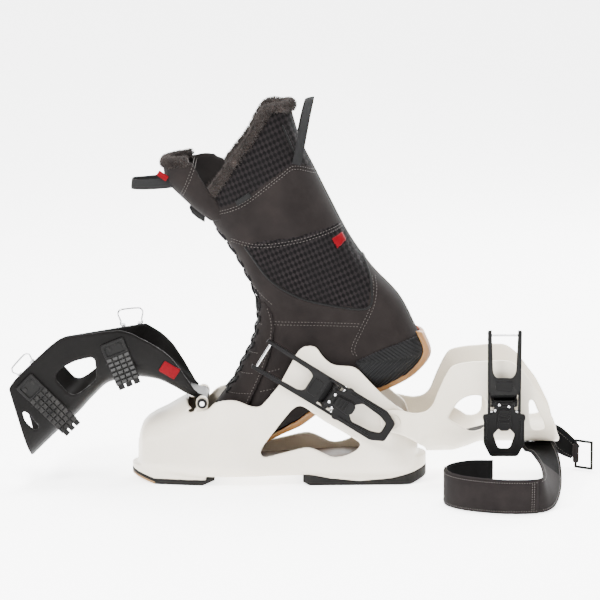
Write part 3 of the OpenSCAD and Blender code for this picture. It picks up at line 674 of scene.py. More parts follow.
TONGUE_ROWS = [
    [-177, 90.5, -176, 125, 27, 27, 14, 8, 0], [-190, 97, -190, 145, 33, 35, 18, 8, 0],
    [-203, 105, -203, 165, 39, 42, 22, 8, 0], [-221, 113.5, -222, 180, 46, 48, 26, 8, 0],
    [-240, 116, -240, 190, 48, 48, 28, 8, 0], [-270, 110, -275, 190, 48, 48, 30, 8, 0],
    [-288, 94.5, -297, 185, 48, 48, 30, 8, 0], [-304, 77, -318, 175, 48, 48, 30, 8, 0],
    [-328, 55, -348, 155, 48, 48.5, 31, 8, 0], [-353.6, 30, -381, 125, 50, 50, 32, 8, 0]]
TONGUE_WALL = 3.0
TONGUE_EDGE = [(-178, 99), (-192, 122), (-205, 141), (-218, 152), (-232, 160), (-247, 168),
               (-258, 171), (-294, 167), (-320, 163), (-333, 153), (-356, 131), (-369, 118.5),
               (-377, 107), (-381, 94)]
TONGUE_FAR_EDGE = [(-226, 260), (-226, 160), (-233, 161.5), (-256, 158), (-324, 146.5),
                   (-353, 119.5), (-372, 99.5), (-392, 79), (-392, 260)]
LABEL_SIDE = [(-201.8, 115.6), (-194.8, 126.2), (-211.2, 137.4), (-218.2, 126.8)]
TONGUE_WINDOW = [(-328, 120), (-320, 130), (-304, 138), (-285, 142), (-283, 117), (-301, 103),
                 (-310, 100)]
TONGUE_SLOT = [(-362, 84), (-356, 81.5), (-344, 66.5), (-348, 62), (-359, 73)]
CUFF_ROWS = [
    upright(12, 0, 46.8, 46.8, 30, 150, 8, 8), upright(52, 0, 46.8, 46.8, 30, 150, 8, 8),
    upright(64, 0, 46.8, 46.8, 36, 150, 24, 8), upright(75, 0, 47, 47, 35, 150, 30, 8),
    upright(91, 0, 47, 47, 35, 150, 32, 8), upright(108, 0, 47.5, 47.5, 39, 150, 34, 8),
    upright(127, 0, 48.5, 48.5, 45, 150, 36, 8), upright(175, 0, 50, 50, 45, 150, 38, 8),
    upright(213, 0, 51, 51, 44, 150, 40, 8)]
CUFF_WALL = 3.0
CUFF_SIDE = [(17, 68), (20, 62), (34, 59), (45, 55), (58.6, 47), (66, 41), (68, 20), (212, 20),
             (209, 45), (207.7, 52), (204.5, 59), (202, 71), (194, 88), (186, 103), (177, 114),
             (169, 126), (164, 130.5), (155, 138), (145, 139), (113, 137), (97, 134.5),
             (90.5, 131), (83.5, 118), (77, 103), (72, 89), (64, 82), (50, 81), (36, 85), (22, 84),
             (16, 76)]
CUFF_WINDOW = [(91.6, 81.5), (98, 92), (106.5, 99), (119, 101), (128, 98), (128, 64), (113, 60),
               (105, 66), (88, 75)]
CUFF_TOP_WINDOW = [(173.6, 95.6), (178, 96.6), (183, 84), (188.5, 75), (192, 64), (178, 62),
                   (175, 73)]
LINER_ROWS = [round_slice(*s) for s in [
    [-184.5, 41, -184.5, 44, 5, 7], [-183, 38, -183, 46, 8, 7], [-179, 31, -179, 52, 20, 7],
    [-170, 26, -169, 61, 29, 7], [-148, 30, -149, 78, 36, 5], [-108, 46, -131, 91, 39, 2],
    [-88, 55, -126, 107, 39], [-72, 61, -120, 128, 38], [-45, 79, -112, 151, 36.5],
    [-12, 90, -109, 167, 34.5], [26, 103, -110, 180, 33], [53, 119, -112, 190, 32],
    [68, 141, -115, 200, 32], [57, 166, -121, 212, 34], [41, 198, -128, 226, 36],
    [10, 232, -137, 243, 38], [-14, 266, -150, 262, 40], [-36, 308, -163, 280, 44],
    [-52, 340, -170, 312, 45], [-66, 368, -168, 345, 43], [-78, 407, -130, 401, 32]]]
VAMP_ROWS = [round_slice(*s) for s in [
    [-170, 26, -169, 63, 29, 7], [-148, 30, -156, 86, 36.2, 5], [-108, 46, -144, 103, 39.3, 2],
    [-88, 55, -137, 114, 39.4], [-72, 61, -130, 130, 38.4], [-45, 79, -120, 150, 36.9],
    [-12, 90, -115.5, 167, 34.9], [26, 103, -113.5, 180, 33.4], [53, 119, -113.5, 190, 32.4],
    [68, 141, -115.4, 200, 32.2]]]
FLAP_ROWS = [round_slice(-118, 292, -164, 281.5, 32), round_slice(-132, 305, -190, 303, 34),
             round_slice(-143, 335, -212, 328, 35), round_slice(-146, 352, -214, 343, 33)]


# ---------------------------------------------------------------- lower shell
def hollow(name, rows, wall, material, count, squeeze=None, around=112):
    """A lofted shell with an even wall; squeeze keeps its end walls as well"""
    body = loft(name, rows, material, count, around)
    core = loft("core", rows, material, count, around, -wall)
    if squeeze:
        middle, length = squeeze
        share = (length - 2 * wall) / length
        core.data.transform(Matrix.Translation((middle * (1 - share) * MM, 0, 0))
                            @ Matrix.Scale(share, 4, (1, 0, 0)))
    return body, core


def make_lower_shell():
    body, core = hollow("lower_shell_moulding", SHELL_ROWS, SHELL_WALL, "shell", 90, (-91, 298))
    combine(body, core)
    front = disc(-213.5, 6, 34.5) + disc(-185, 4, 38) + [(-168, -36), (-159, -36), (-159, 38)]
    toe = hull_block(front, 1, 40)
    line = [(-248.5, 13.5), (-223, 5.5), (-168, 5.5), (-168, 10), (-158, 10), (-158, 12.4),
            (-226, 12.4), (-232, 19), (-250, 19)]
    combine(body, combine(toe, prism(line), "INTERSECT"), "UNION")
    rear = disc(36, 0, 31) + [(-65, -35), (-65, 35), (-59, 35), (-59, -35)]
    heel = hull_block(rear, 1, 40)
    arch = [(-65, 13), (-34, 7), (-4, 4), (30, 7), (50, 12), (68, 18)]
    line = arch + [(68, 30), (50, 30), (46, 14.6), (-65, 14.6)]
    combine(body, combine(heel, prism(line), "INTERSECT"), "UNION")
    heel = hull_block(rear, -1, 40)
    combine(body, combine(heel, prism(arch + [(68, -5), (-65, -5)]), "INTERSECT"))
    combine(body, prism(rounded(RIM, 7)))
    combine(body, prism(rounded(SHELL_WINDOW, 8)))
    combine(body, prism([(-187, 78), (-180, 80), (-180, 83.4), (-187, 81.4)], -WIDE, 0))
    moulded(body, 1.25, 5)
    return finished(body, "lower_boot", "shell_plastic", "lower_shell")


# ---------------------------------------------------------------- tongue
def make_tongue():
    body, core = hollow("tongue_moulding", TONGUE_ROWS, TONGUE_WALL, "tongue", 80)
    combine(body, core)
    combine(body, prism(rounded([(-150, 260), (-150, 99)] + TONGUE_EDGE
                                + [(-392, 80), (-392, 260)], 6)))
    combine(body, prism(rounded(TONGUE_FAR_EDGE, 5), 0))
    combine(body, prism(rounded(TONGUE_WINDOW, 6)))
    combine(body, prism(rounded(TONGUE_SLOT, 3), -WIDE, 0))
    moulded(body, 1.15, 5)
    finished(body, "tongue", "tongue_plastic", "tongue_shell")
    return tree_of(body)


# ---------------------------------------------------------------- cuff
def make_cuff():
    body, core = hollow("cuff_moulding", CUFF_ROWS, CUFF_WALL, "cuff", 80)
    combine(body, core)
    ends = prism([(0, 0), (15, 0), (15, 200), (0, 200)])
    combine(body, ends)
    combine(body, prism(rounded(CUFF_SIDE, 7)), "INTERSECT")
    combine(body, prism([(208.5, 0), (230, 0), (230, 200), (203, 200), (207.5, 52)]))
    combine(body, prism(rounded(CUFF_WINDOW, 8)))
    combine(body, prism(rounded(CUFF_TOP_WINDOW, 4)))
    moulded(body, 1.15, 5)
    return finished(body, "cuff", "cuff_plastic", "cuff_shell")


make_lower_shell()
tongue_skin = make_tongue()
make_cuff()


# ---------------------------------------------------------------- tongue fittings
RACKS = {"instep": (beside(-267, -48.1, 159, 68), 16, 31, 26, 6),
         "cuff": (beside(-360, -50.1, 117, 45), 20, 49, 23, 8)}
BAILS = {"instep": ((-250, 51.2, 159), -6, 17, "bail_a"),
         "cuff": ((-364, 52.9, 110), -48, 12, "bail_b")}


def saw_tooth(place, x0, x1, z0, z1):
    """A wedge on a rack: low at x0 and tall at x1"""
    low, high, foot = 2.2, 4.3, 1.2
    shape = [(x0, foot), (x0, low), (x0 + 0.82 * (x1 - x0), high), (x1, high - 0.5), (x1, foot)]
    points = [place @ (Vector((x, -out, z)) * MM) for z in (z0, z1) for x, out in shape]
    n = len(shape)
    faces = [list(range(n)), list(range(2 * n - 1, n - 1, -1))]
    faces += [[i, (i + 1) % n, (i + 1) % n + n, i + n] for i in range(n)]
    ob = face_outwards(new_piece("tooth", [np.array(p) / MM for p in points], faces, "rack", False))
    ease = ob.modifiers.new("ease", "BEVEL")
    ease.width, ease.segments = 0.35 * MM, 1
    return settle(ob)


def make_rack(key):
    place, flat, toothed, wide, count = RACKS[key]
    half, end = wide / 2, flat + toothed
    parts = [plate(box_line(0, end, -half, half, 3), [], 1.8, 1.8, "rack", 0.4, place)]
    rim = box_line(0, flat, -half, half, 3.5)
    parts.append(plate(rim, [box_line(3, flat - 2, -half + 3, half - 3, 2)], 3.4, 2, "rack", 0.5,
                       place))
    pitch, strip = toothed / count, wide / 4
    for i in range(count):
        x0 = flat + i * pitch
        for c in range(4):
            z0 = -half + c * strip + 0.45
            parts.append(saw_tooth(place, x0 + 0.3, x0 + pitch - 0.5, z0, z0 + strip - 0.9))
    for c in range(3):
        z0 = -half + c * wide / 3 + 1
        parts.append(plate(box_line(end - 1, end + 5, z0, z0 + wide / 3 - 2, 1), [], 1.8, 1.8,
                           "rack", 0.4, place))
    finished(join(parts, key + "_rack_moulding"), "tongue", "rack_plastic", "rack_" + key)


def make_bail(key):
    at, tilt, reach, body = BAILS[key]
    place = Matrix.Translation(Vector(at)) @ Matrix.Rotation(math.radians(tilt), 4, "Y")
    half = [(6.5, 0), (10, 0), (11.6, 0.3), (12, 2), (11.3, 0.25 * reach), (12.6, 0.5 * reach),
            (13.4, 0.72 * reach), (12.6, reach - 2), (10.5, reach), (6, reach + 0.4)]
    line = half + [(0, reach + 0.5)] + [(-x, z) for x, z in half[::-1]]
    path = [np.array(place @ Vector((x, 0, z))) for x, z in through(line, 0.8)]
    finished(tube(body + "_wire", path, 0.95, "steel", 12), body, "bright_metal", "bail_" + key)


for fitting in RACKS:
    make_rack(fitting)
    make_bail(fitting)
label = draped_patch("tongue_blank_label", tongue_skin, rounded(LABEL_SIDE, 1.5), NEAR, 0.5,
                     lambda x, z: 1.2, "red", 1.4)
finished(label, "tongue", "label_red", "label_plate")


# ---------------------------------------------------------------- buckles
PIN_OUT = 11.6
AHEAD = 9
BUCKLES = {"instep": (beside(-36, -42.2, 101, 31.8), 74, 37, 88),
           "cuff": (beside(147, -49.6, 95, 90), 57, 44, 78)}


def bar_between(place, x0, x1, z0, z1, out, thick, material, soft=0.5, radius=1.2):
    return plate(box_line(x0, x1, z0, z1, radius), [], out, thick, material, soft, place)


def cross_rod(place, x, out, half, radius, material):
    points = [place @ (Vector((x, -out, z)) * MM) for z in np.linspace(-half, half, 9)]
    return tube("rod", [np.array(p) / MM for p in points], radius, material, 14)


def make_lever(key):
    place, long, wide, _ = BUCKLES[key]
    half = wide / 2
    outline = rounded([(1.5, -10.7), (7, -10.7), (11, -13.4), (12, -half - 0.5), (17, -half - 0.5),
                       (19, -half + 0.6), (long - 14, -half + 0.4), (long, -half + 7.5),
                       (long, half - 7.5), (long - 14, half - 0.4), (19, half - 0.6),
                       (17, half + 0.5), (12, half + 0.5), (11, 13.4), (7, 10.7), (1.5, 10.7)], 2.6)
    window = rounded([(30, -8.5), (33, -11.5), (long - 18, -9.5), (long - 8.5, -6),
                      (long - 8.5, 6), (long - 18, 9.5), (33, 11.5), (30, 8.5), (27, 6),
                      (27, -6)], 3)
    parts = [plate(outline, [window], PIN_OUT + 2.6, 4.2, "black", 0.8, place)]
    for side in (-1, 1):
        inner = side * (half - 5.2)
        parts.append(bar_between(place, 17, long - 18, min(inner, inner + side * 1.8),
                                 max(inner, inner + side * 1.8), PIN_OUT + 3.6, 1.6, "black", 0.4, 0.8))
    parts.append(plate(rounded([(6, -6), (25, -7.5), (29, -4), (29, 4), (25, 7.5), (6, 6)], 2),
                       [], PIN_OUT + 5.2, 4, "black", 0.9, place))
    for x in (10.5, 14.5, 18.5):
        parts.append(bar_between(place, x, x + 1.8, -5.4, 5.4, PIN_OUT + 6.2, 1.6, "black", 0.5, 0.8))
    parts.append(cross_rod(place, 0, PIN_OUT, 10.7, 3.2, "black"))
    parts.append(cross_rod(place, AHEAD, PIN_OUT, 17.6, 1.6, "steel"))
    for x, out, z in ((1.5, 15.4, -5.2), (3.2, 15.8, 4.6), (7.4, 14.8, -9.4)):
        head = place @ (Vector((x, -out, z)) * MM)
        foot = place @ (Vector((x, -out + 3, z)) * MM)
        parts.append(tube("stud", [np.array(foot) / MM, np.array(head) / MM], 1.6, "steel", 14))
    ob = join(parts, key + "_lever_moulding")
    return finished(ob, key + "_lever_body", "buckle_metal", key + "_lever")


def make_ladder(key):
    place, _, _, long = BUCKLES[key]
    outer = rounded([(-long, -18), (-20, -17.6), (-9, -17.4), (-9, -12), (-9, 12), (-9, 17.4),
                     (-20, 17.6), (-long, 18)], 2)
    gap = rounded([(-long - 3, -14), (-33, -12.2), (-27, -9), (-27, 9), (-33, 12.2),
                   (-long - 3, 14)], 3)
    body = plate(outer, [], PIN_OUT + 2, 3.4, "black", 0.5, place)
    hole = plate(gap, [], PIN_OUT + 12, 24, "black", 0.01, place)
    combine(body, hole)
    parts = [body]
    for side in (-1, 1):
        z = side * 16
        parts.append(bar_between(place, -12, AHEAD + 3, z - 1.5, z + 1.5, PIN_OUT + 2, 4, "black", 0.6))
    parts.append(bar_between(place, -24, -13, -9, 9, PIN_OUT + 2.6, 1.4, "black", 0.4, 2.5))
    parts.append(cross_rod(place, -long + 5, PIN_OUT + 0.2, 16.8, 1.4, "steel"))
    ob = join(parts, key + "_ladder")
    return finished(ob, key + "_frame_body", "buckle_metal", key + "_frame")


for buckle in BUCKLES:
    make_lever(buckle)
    make_ladder(buckle)


# ---------------------------------------------------------------- hardware kept from CAD
def dress(name, material, soft=0.35):
    """A CAD node keeps its shape: its edges are eased and it gets a finish"""
    ob = NODES[name]
    ob.data.materials.clear()
    ob.data.materials.append(MATERIALS[material])
    for polygon in ob.data.polygons:
        polygon.material_index = 0
    weld = ob.modifiers.new("weld", "WELD")
    weld.merge_threshold = 0.00002
    if soft:
        ease = ob.modifiers.new("ease", "BEVEL")
        ease.width, ease.segments = soft * MM, 2
        ease.limit_method, ease.angle_limit = "ANGLE", math.radians(40)


DRESSED = {
    "black": ["instep_buckle_base", "cuff_buckle_base", "medial_catch", "cuff_catch",
              "tongue_knuckle", "strap_ring", "toe_grommets"],
    "rack": ["rack_screws"],
    "steel": ["instep_base_screws", "cuff_base_screws", "sole_screws", "toe_hinge_pin",
              "strap_rivets"],
    "rivet": ["cuff_pivot_pins", "cuff_pivot_rings"],
    "hinge": ["toe_hinge_block"],
    "sole": ["sole_pad_front", "sole_pad_heel", "spoiler_pad"],
    "tan": ["toe_tip", "spoiler_base"],
    "board": ["boot_board"],
    "lining": ["insole"],
}
ROUND_NODES = ["toe_hinge_pin", "strap_ring"]
for finish_name, names in DRESSED.items():
    for node_name in names:
        dress(node_name, finish_name, 0 if node_name in ROUND_NODES else 0.35)


# ---------------------------------------------------------------- inner boot
LINER_WALL = 7
RIM_CUT = [(-230, 300), (-172, 300), (-163, 308), (-139, 347), (-121, 371), (-111, 391),
           (-104, 401), (-92, 404.5), (-76, 404.5), (-76, 440), (-230, 440)]
MESH_PANEL = [(-126.7, 257.8), (-101.4, 223.6), (-73.6, 204.8), (-41.3, 195.5), (2.6, 191.5),
              (7.2, 216.7), (0.3, 240), (-11.3, 263.5), (-21.6, 282), (-41.3, 277.6),
              (-73.6, 268.4), (-110.8, 263.8)]
UPPER_PANEL = [(-180, 290), (-161.9, 295), (-126.7, 309.4), (-89.5, 337.4), (-73.5, 346.6),
               (-50, 338.7), (-30, 333), (-30, 430), (-180, 430)]
UPPER_SEAM = [(-158, 293), (-126.7, 306), (-89.5, 334), (-73.5, 343.4), (-49, 335.3)]
LOWER_SEAM = [(-142, 265.5), (-110.8, 260.3), (-73.6, 265), (-41.3, 274.3), (-19, 281.3)]
ANKLE_SEAM = [(-112, 176.5), (-60, 176), (-4, 174.6)]
HEEL_SEAM = [(8, 226), (9.6, 212), (6.2, 193.1), (-4.3, 169.7), (-13.5, 148.6), (-10, 138)]
VAMP_EDGE = [(-126, 78), (-119, 96), (-108, 120), (-99, 146), (-95, 172), (-100, 192)]
EYESTAY_SEAM = [(-144, 262), (-126, 226), (-113, 208), (-97, 194), (-92, 172), (-96, 145),
                (-105, 119), (-116, 95)]
VAMP_SEAMS = [[(-152, 118), (-118, 121)], [(-148, 98), (-122, 100)], [(-150, 170), (-108, 172)],
              [(-142, 140), (-112, 142)]]
FOOT_SEAMS = [[(-103, 122.5), (-87, 127.6)], [(-112, 101.5), (-93, 106.5)]]
DOUBLE = 3.2       # distance between the two rows of a double seam
PANEL_PIPING = [MESH_PANEL[0], *MESH_PANEL[1:9]]
BACK_PIPING = [(-87, 386), (-71.4, 349)]


def shifted(line, dx, dz):
    return [(x + dx, z + dz) for x, z in line]


def seam_lines():
    """Every stitched row, as side-view lines"""
    lines = []
    for line in (UPPER_SEAM, LOWER_SEAM, ANKLE_SEAM):
        lines += [line, shifted(line, 0, -DOUBLE)]
    lines += [HEEL_SEAM, shifted(HEEL_SEAM, DOUBLE, -0.6)]
    lines += [EYESTAY_SEAM[:4], *FOOT_SEAMS]
    return lines


def near_lines(points, lines, reach):
    """Indices of points within reach of any side-view line"""
    found = np.zeros(len(points), bool)
    for line in lines:
        for q in through(line, 2.0):
            found |= np.hypot(points[:, 0] - q[0], points[:, 2] - q[1]) < reach
    return np.nonzero(found)[0]


def zoned(ob, names, index):
    """Gives each face one of the named materials"""
    ob.data.materials.clear()
    for name in names:
        ob.data.materials.append(MATERIALS[name])
    ob.data.polygons.foreach_set("material_index", index.astype(int).tolist())


def coords_mm(ob):
    co = np.zeros(len(ob.data.vertices) * 3)
    ob.data.vertices.foreach_get("co", co)
    return co.reshape(-1, 3) / MM


def face_centres_mm(ob):
    at = np.zeros(len(ob.data.polygons) * 3)
    ob.data.polygons.foreach_get("center", at)
    return at.reshape(-1, 3) / MM


def quilted(ob, skin, voxel, held_lines, cap, pressure):
    """The padded form: remeshed, inflated between its seams, and subdivided once"""
    even = ob.modifiers.new("even", "REMESH")
    even.mode, even.voxel_size = "VOXEL", voxel * MM
    settle(ob)
    points = coords_mm(ob)
    depth = np.array([skin.find_nearest(Vector(p) * MM)[3] for p in points]) / MM
    deep = np.nonzero(depth > 3.5)[0]
    held = np.union1d(near_lines(points, held_lines, voxel * 0.8), deep)
    puffed(ob, held, pressure, cap)
    fine = ob.modifiers.new("fine", "SUBSURF")
    fine.levels = fine.render_levels = 1
    settle(ob)
    ob.data.polygons.foreach_set("use_smooth", [True] * len(ob.data.polygons))
    return ob


def make_liner():
    body = loft("liner_padded_upper", LINER_ROWS, "suede", 150, 120, -1.6)
    skin = tree_of(body)
    hole = loft("hole", [LINER_ROWS[i] for i in (4, 7, 9, 11, 12, 13, 14, 15, 16)], "suede", 90, 90,
                -LINER_WALL)
    combine(body, hole)
    hole = loft("hole", [LINER_ROWS[i] for i in (16, 17, 18, 19)]
                + [round_slice(-83, 425, -140, 419, 31)], "suede", 50, 90, -LINER_WALL)
    combine(body, hole)
    combine(body, prism(RIM_CUT))
    piped = [PANEL_PIPING, BACK_PIPING]
    quilted(body, skin, 3.4, seam_lines() + piped, 2.6, 3.0)
    at = face_centres_mm(body)
    kind = np.zeros(len(at), int)
    kind[inside(MESH_PANEL, at[:, 0], at[:, 2])] = 1
    kind[inside(UPPER_PANEL, at[:, 0], at[:, 2])] = 1
    depth = np.array([skin.find_nearest(Vector(p) * MM)[3] for p in at]) / MM
    kind[depth > 3.5] = 2
    zoned(body, ("suede", "mesh", "lining"), kind)
    finished(body, "liner", "liner_suede", "liner_upper")
    return tree_of(body)


liner_skin = make_liner()


def both_sides(line, step, lift):
    return [drawn_on(liner_skin, line, side, step, lift) for side in (NEAR, FAR)]


def pressed(ob):
    """Gives a piece of the laced front its own copy of its mesh"""
    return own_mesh(ob)


def make_vamp():
    """The laced front of the foot: a fuller padded overlay sewn on along its edge"""
    pad = loft("liner_vamp_overlay", VAMP_ROWS, "suede", 90, 110, -0.6)
    skin = tree_of(pad)
    line = [tuple(p) for p in through(VAMP_EDGE, 4)]
    combine(pad, prism([(-210, 55), (-130, 66)] + line + [(-112, 203), (-210, 203)]), "INTERSECT")
    quilted(pad, skin, 2.8, [VAMP_EDGE], 1.6, 2.0)
    zoned(pad, ("suede",), np.zeros(len(pad.data.polygons)))
    finished(pad, "liner", "liner_suede")
    tree = tree_of(pad)
    pressed(pad)
    front = [path for line in (*VAMP_SEAMS, shifted(VAMP_EDGE, -3.5, 0)) for side in (NEAR, FAR)
             for path in [drawn_on(tree, line, side, 1.2, 0.2)]]
    pressed(finished(dashes("vamp_stitching", front), "liner", "webbing"))
    return tree


vamp_skin = make_vamp()


def make_liner_seams():
    rows = [path for line in seam_lines() for path in both_sides(line, 1.2, 0.15)]
    finished(dashes("liner_stitching", rows), "liner", "webbing")
    tubes = []
    for line in (PANEL_PIPING, BACK_PIPING):
        for path in both_sides(line, 1.5, 0.1):
            tubes.append(tube("piping", path, 1.15, "piping", 8))
    finished(join(tubes, "liner_piping"), "liner", "webbing")


make_liner_seams()


RAND = rounded([(-11.5, 133), (20, 148), (56, 160.5), (66, 156), (69, 136), (60, 121), (48, 110),
                (33, 103), (20, 100), (2.1, 118)], 5)


def chevrons(x, z):
    """Height of the rand's grooved face"""
    across = z - 133 - 0.12 * x
    phase = (x * 0.75 + abs(across) * 0.9) / 3.6 % 1
    return 1.0 + 1.1 * min(1, 2.4 * abs(phase - 0.5) * 2) - 0.5


def make_rand():
    sides = [draped_patch("rand", liner_skin, RAND, side, 0.7, chevrons, "rand", 2.2)
             for side in (NEAR, FAR)]
    finished(join(sides, "heel_rand_moulding"), "liner", "rand_rubber", "heel_rand")


def make_outsole():
    """The gum sole: a strip round the foot edge of the liner's sections, up behind the heel"""
    rows = even_rows(LINER_ROWS[1:13] + [round_slice(60, 163, -120, 210, 33.6)], 120)
    around = 160
    verts, faces = [], []
    for i, row in enumerate(rows):
        outer, inner = ring(row, around, 4.2), ring(row, around, -0.6)
        length = 2 * math.pi * 0.9 * row[4] + 2 * max(0, math.hypot(row[2] - row[0], row[3] - row[1])
                                                     - 2 * row[4])
        reach = int(min(0.24, 20 / length) * around)
        steps = np.linspace(-reach, reach, 27)
        blended = []
        for grid in (outer, inner):
            at = steps % around
            low = np.floor(at).astype(int) % around
            share = (at - np.floor(at))[:, None]
            blended.append(grid[low] * (1 - share) + grid[(low + 1) % around] * share)
        fade = np.clip((1 - np.abs(steps) / (reach + 1e-6)) * 6, 0.35, 1)[:, None]
        blended[0] = blended[1] + (blended[0] - blended[1]) * fade
        verts += list(blended[0]) + list(blended[1][::-1])
    n = 54
    for i in range(len(rows) - 1):
        for j in range(n):
            k = (j + 1) % n
            faces.append([i * n + j, i * n + k, (i + 1) * n + k, (i + 1) * n + j])
    faces += [list(range(n)), list(range(len(verts) - 1, len(verts) - 1 - n, -1))]
    ob = face_outwards(new_piece("outsole_gum_strip", verts, faces, "gum"))
    finished(ob, "liner", "outsole_gum", "liner_outsole")


make_rand()
make_outsole()


# ---------------------------------------------------------------- fur
def furry(name, path, radius, count, length, body, *replaced):
    """A soft roll with hairs all over it"""
    path = through(path, 3)
    roll = tube(name + "_roll", path, radius, "fur", 16)
    points = coords_mm(roll)
    normal = np.array([v.normal for v in roll.data.vertices])
    lumps = chance.normal(0, 0.35, len(points))[:, None]
    roll.data.vertices.foreach_set("co", ((points + normal * lumps) * MM).ravel())
    tree = roll.data
    faces = chance.integers(0, len(tree.polygons), count)
    roots, leans = [], []
    for f in faces:
        polygon = tree.polygons[int(f)]
        corners = [np.array(tree.vertices[v].co) / MM for v in polygon.vertices][:4]
        if len(corners) < 4:
            continue
        a, b = chance.random(2)
        roots.append((corners[0] * (1 - a) + corners[1] * a) * (1 - b)
                     + (corners[3] * (1 - a) + corners[2] * a) * b)
        leans.append(np.array(polygon.normal))
    hairs = strands(name + "_hair", roots, leans, length, 0.34, "fur")
    finished(roll, body, "fur", *replaced)
    finished(hairs, body, "fur")
    return roll


COLLAR_LINE = [(-166, 297), (-163, 309), (-152, 326), (-138, 346), (-120, 370), (-110, 390),
               (-104, 399.5), (-95, 403), (-87, 402)]


def make_collar_fur():
    near, far = [], []
    for x, z in COLLAR_LINE:
        depth = LINER_WALL / 2
        for side, found in ((NEAR, near), (FAR, far)):
            for slide in (0, 3, 6, 9, 12):
                p = on_side(liner_skin, x + slide, z - slide, side, -depth)
                if p is not None and abs(p[1]) > 14:
                    found.append((x, p[1], z))
                    break
    path = near + [(-80, -9, 404), (-79, 0, 404.5), (-80, 9, 404)] + far[::-1]
    furry("collar_fur", path, 4.8, 12000, 3.8, "liner", "collar_fur")


make_collar_fur()


def make_flap():
    body = loft("liner_tongue_padded", FLAP_ROWS, "suede", 50, 90, -0.5)
    skin = tree_of(body)
    hole = loft("hole", FLAP_ROWS + [round_slice(-148, 366, -214, 357, 32)], "suede", 50, 80, -7)
    hole.data.transform(Matrix.Translation((0.004, 0, 0.001)))
    combine(body, hole)
    combine(body, prism([(-100, 250), (-150, 285), (-144, 300), (-134, 334), (-138, 341),
                         (-160, 349), (-182, 357), (-190, 380), (-100, 380)]))
    combine(body, prism(rounded([(-186, 380), (-185, 353), (-168, 322), (-150, 300), (-100, 300),
                                 (-100, 380)], 4), -WIDE, -6))
    quilted(body, skin, 3.0, [[(-196, 303), (-178, 352)]], 2.2, 3.0)
    at = face_centres_mm(body)
    depth = np.array([skin.find_nearest(Vector(p) * MM)[3] for p in at]) / MM
    zoned(body, ("suede", "lining"), depth > 2.5)
    finished(body, "liner", "liner_suede", "liner_tongue")
    top = ring(FLAP_ROWS[3], 64, -4)
    front = [p for p in np.roll(top, -8, axis=0)
             if p[0] < (-184 if p[1] < 0 else -180)]
    furry("flap_fur", front, 4.4, 5200, 3.6, "liner")
    tree = tree_of(body)
    lines = []
    for side in (NEAR, FAR):
        for dx in (0, DOUBLE):
            found = [on_side(tree, x + dx, z, side, 0.15)
                     for x, z in through([(-197, 306), (-188, 325), (-180, 346)], 1.5)]
            lines.append(np.array([p for p in found if p is not None]))
    finished(dashes("flap_stitching", lines), "liner", "webbing")


make_flap()


# ---------------------------------------------------------------- laces, loops and tags
def ribbon(name, path, width_dir, width, thick, material, inner=None, across=5):
    """A strap along a path; width_dir and width are one value or one for each point"""
    path = np.array(path, float)
    tangent = np.gradient(path, axis=0)
    tangent /= np.linalg.norm(tangent, axis=1)[:, None]
    wide = np.broadcast_to(np.array(width_dir, float), path.shape).copy()
    wide -= tangent * np.sum(wide * tangent, axis=1)[:, None]
    wide /= np.linalg.norm(wide, axis=1)[:, None]
    out = np.cross(wide, tangent)
    verts, faces = [], []
    shares = np.linspace(-0.5, 0.5, across)
    for p, w, o, full in zip(path, wide, out, np.broadcast_to(width, len(path))):
        ease = [thick * (0.5 if abs(s) < 0.49 else 0.28) for s in shares]
        verts += [p + w * s * full + o * e for s, e in zip(shares, ease)]
        verts += [p + w * s * full - o * e for s, e in zip(shares[::-1], ease)]
    n = 2 * across
    for i in range(len(path) - 1):
        for j in range(n):
            k = (j + 1) % n
            faces.append([i * n + j, i * n + k, (i + 1) * n + k, (i + 1) * n + j])
    faces += [list(range(n)), list(range(len(verts) - 1, len(verts) - 1 - n, -1))]
    ob = new_piece(name, verts, faces, material)
    if inner:
        ob.data.materials.append(MATERIALS[inner])
        for i, polygon in enumerate(ob.data.polygons):
            if i < (len(path) - 1) * n and across <= i % n < n - 1:
                polygon.material_index = 1
    bm = bmesh.new()
    bm.from_mesh(ob.data)
    bmesh.ops.recalc_face_normals(bm, faces=bm.faces)
    bm.to_mesh(ob.data)
    bm.free()
    return ob


def make_pull_loops():
    front = through([(-182, -20, 328), (-205, -17, 323), (-228, -12, 320.5), (-243, -7, 320),
                     (-246, 0, 320.5), (-243, 7, 321), (-228, 12, 321.5), (-205, 16, 324),
                     (-184, 19, 329)], 1.5)
    finished(ribbon("front_pull_webbing", front, (0.1, 0, 1), 10.6, 1.8, "webbing", "piping"),
             "liner", "webbing", "front_pull_loop")
    rear = through([(-72, -36, 345), (-69.5, -35, 356), (-66, -30, 374), (-62.5, -22, 392),
                    (-59.5, -12, 405), (-58, -4, 410.5), (-58, 4, 410.5), (-59.5, 12, 405),
                    (-62.5, 22, 392), (-66, 30, 374), (-69.5, 35, 356), (-72, 36, 345)], 1.5)
    finished(ribbon("rear_pull_webbing", rear, (1, 0, 0.25), 9.5, 1.8, "webbing", "piping"),
             "liner", "webbing", "rear_pull_loop")


def front_point(z, y, lift):
    """The liner's front surface at a height and a sideways place"""
    start, ahead = Vector((-300, y, z)) * MM, Vector((1, 0, 0))
    found = [hit for hit in (t.ray_cast(start, ahead) for t in (liner_skin, vamp_skin)) if hit[0]]
    if not found:
        return None
    place, normal, _, _ = min(found, key=lambda hit: hit[0].x)
    return np.array(place) / MM + np.array(normal) * lift


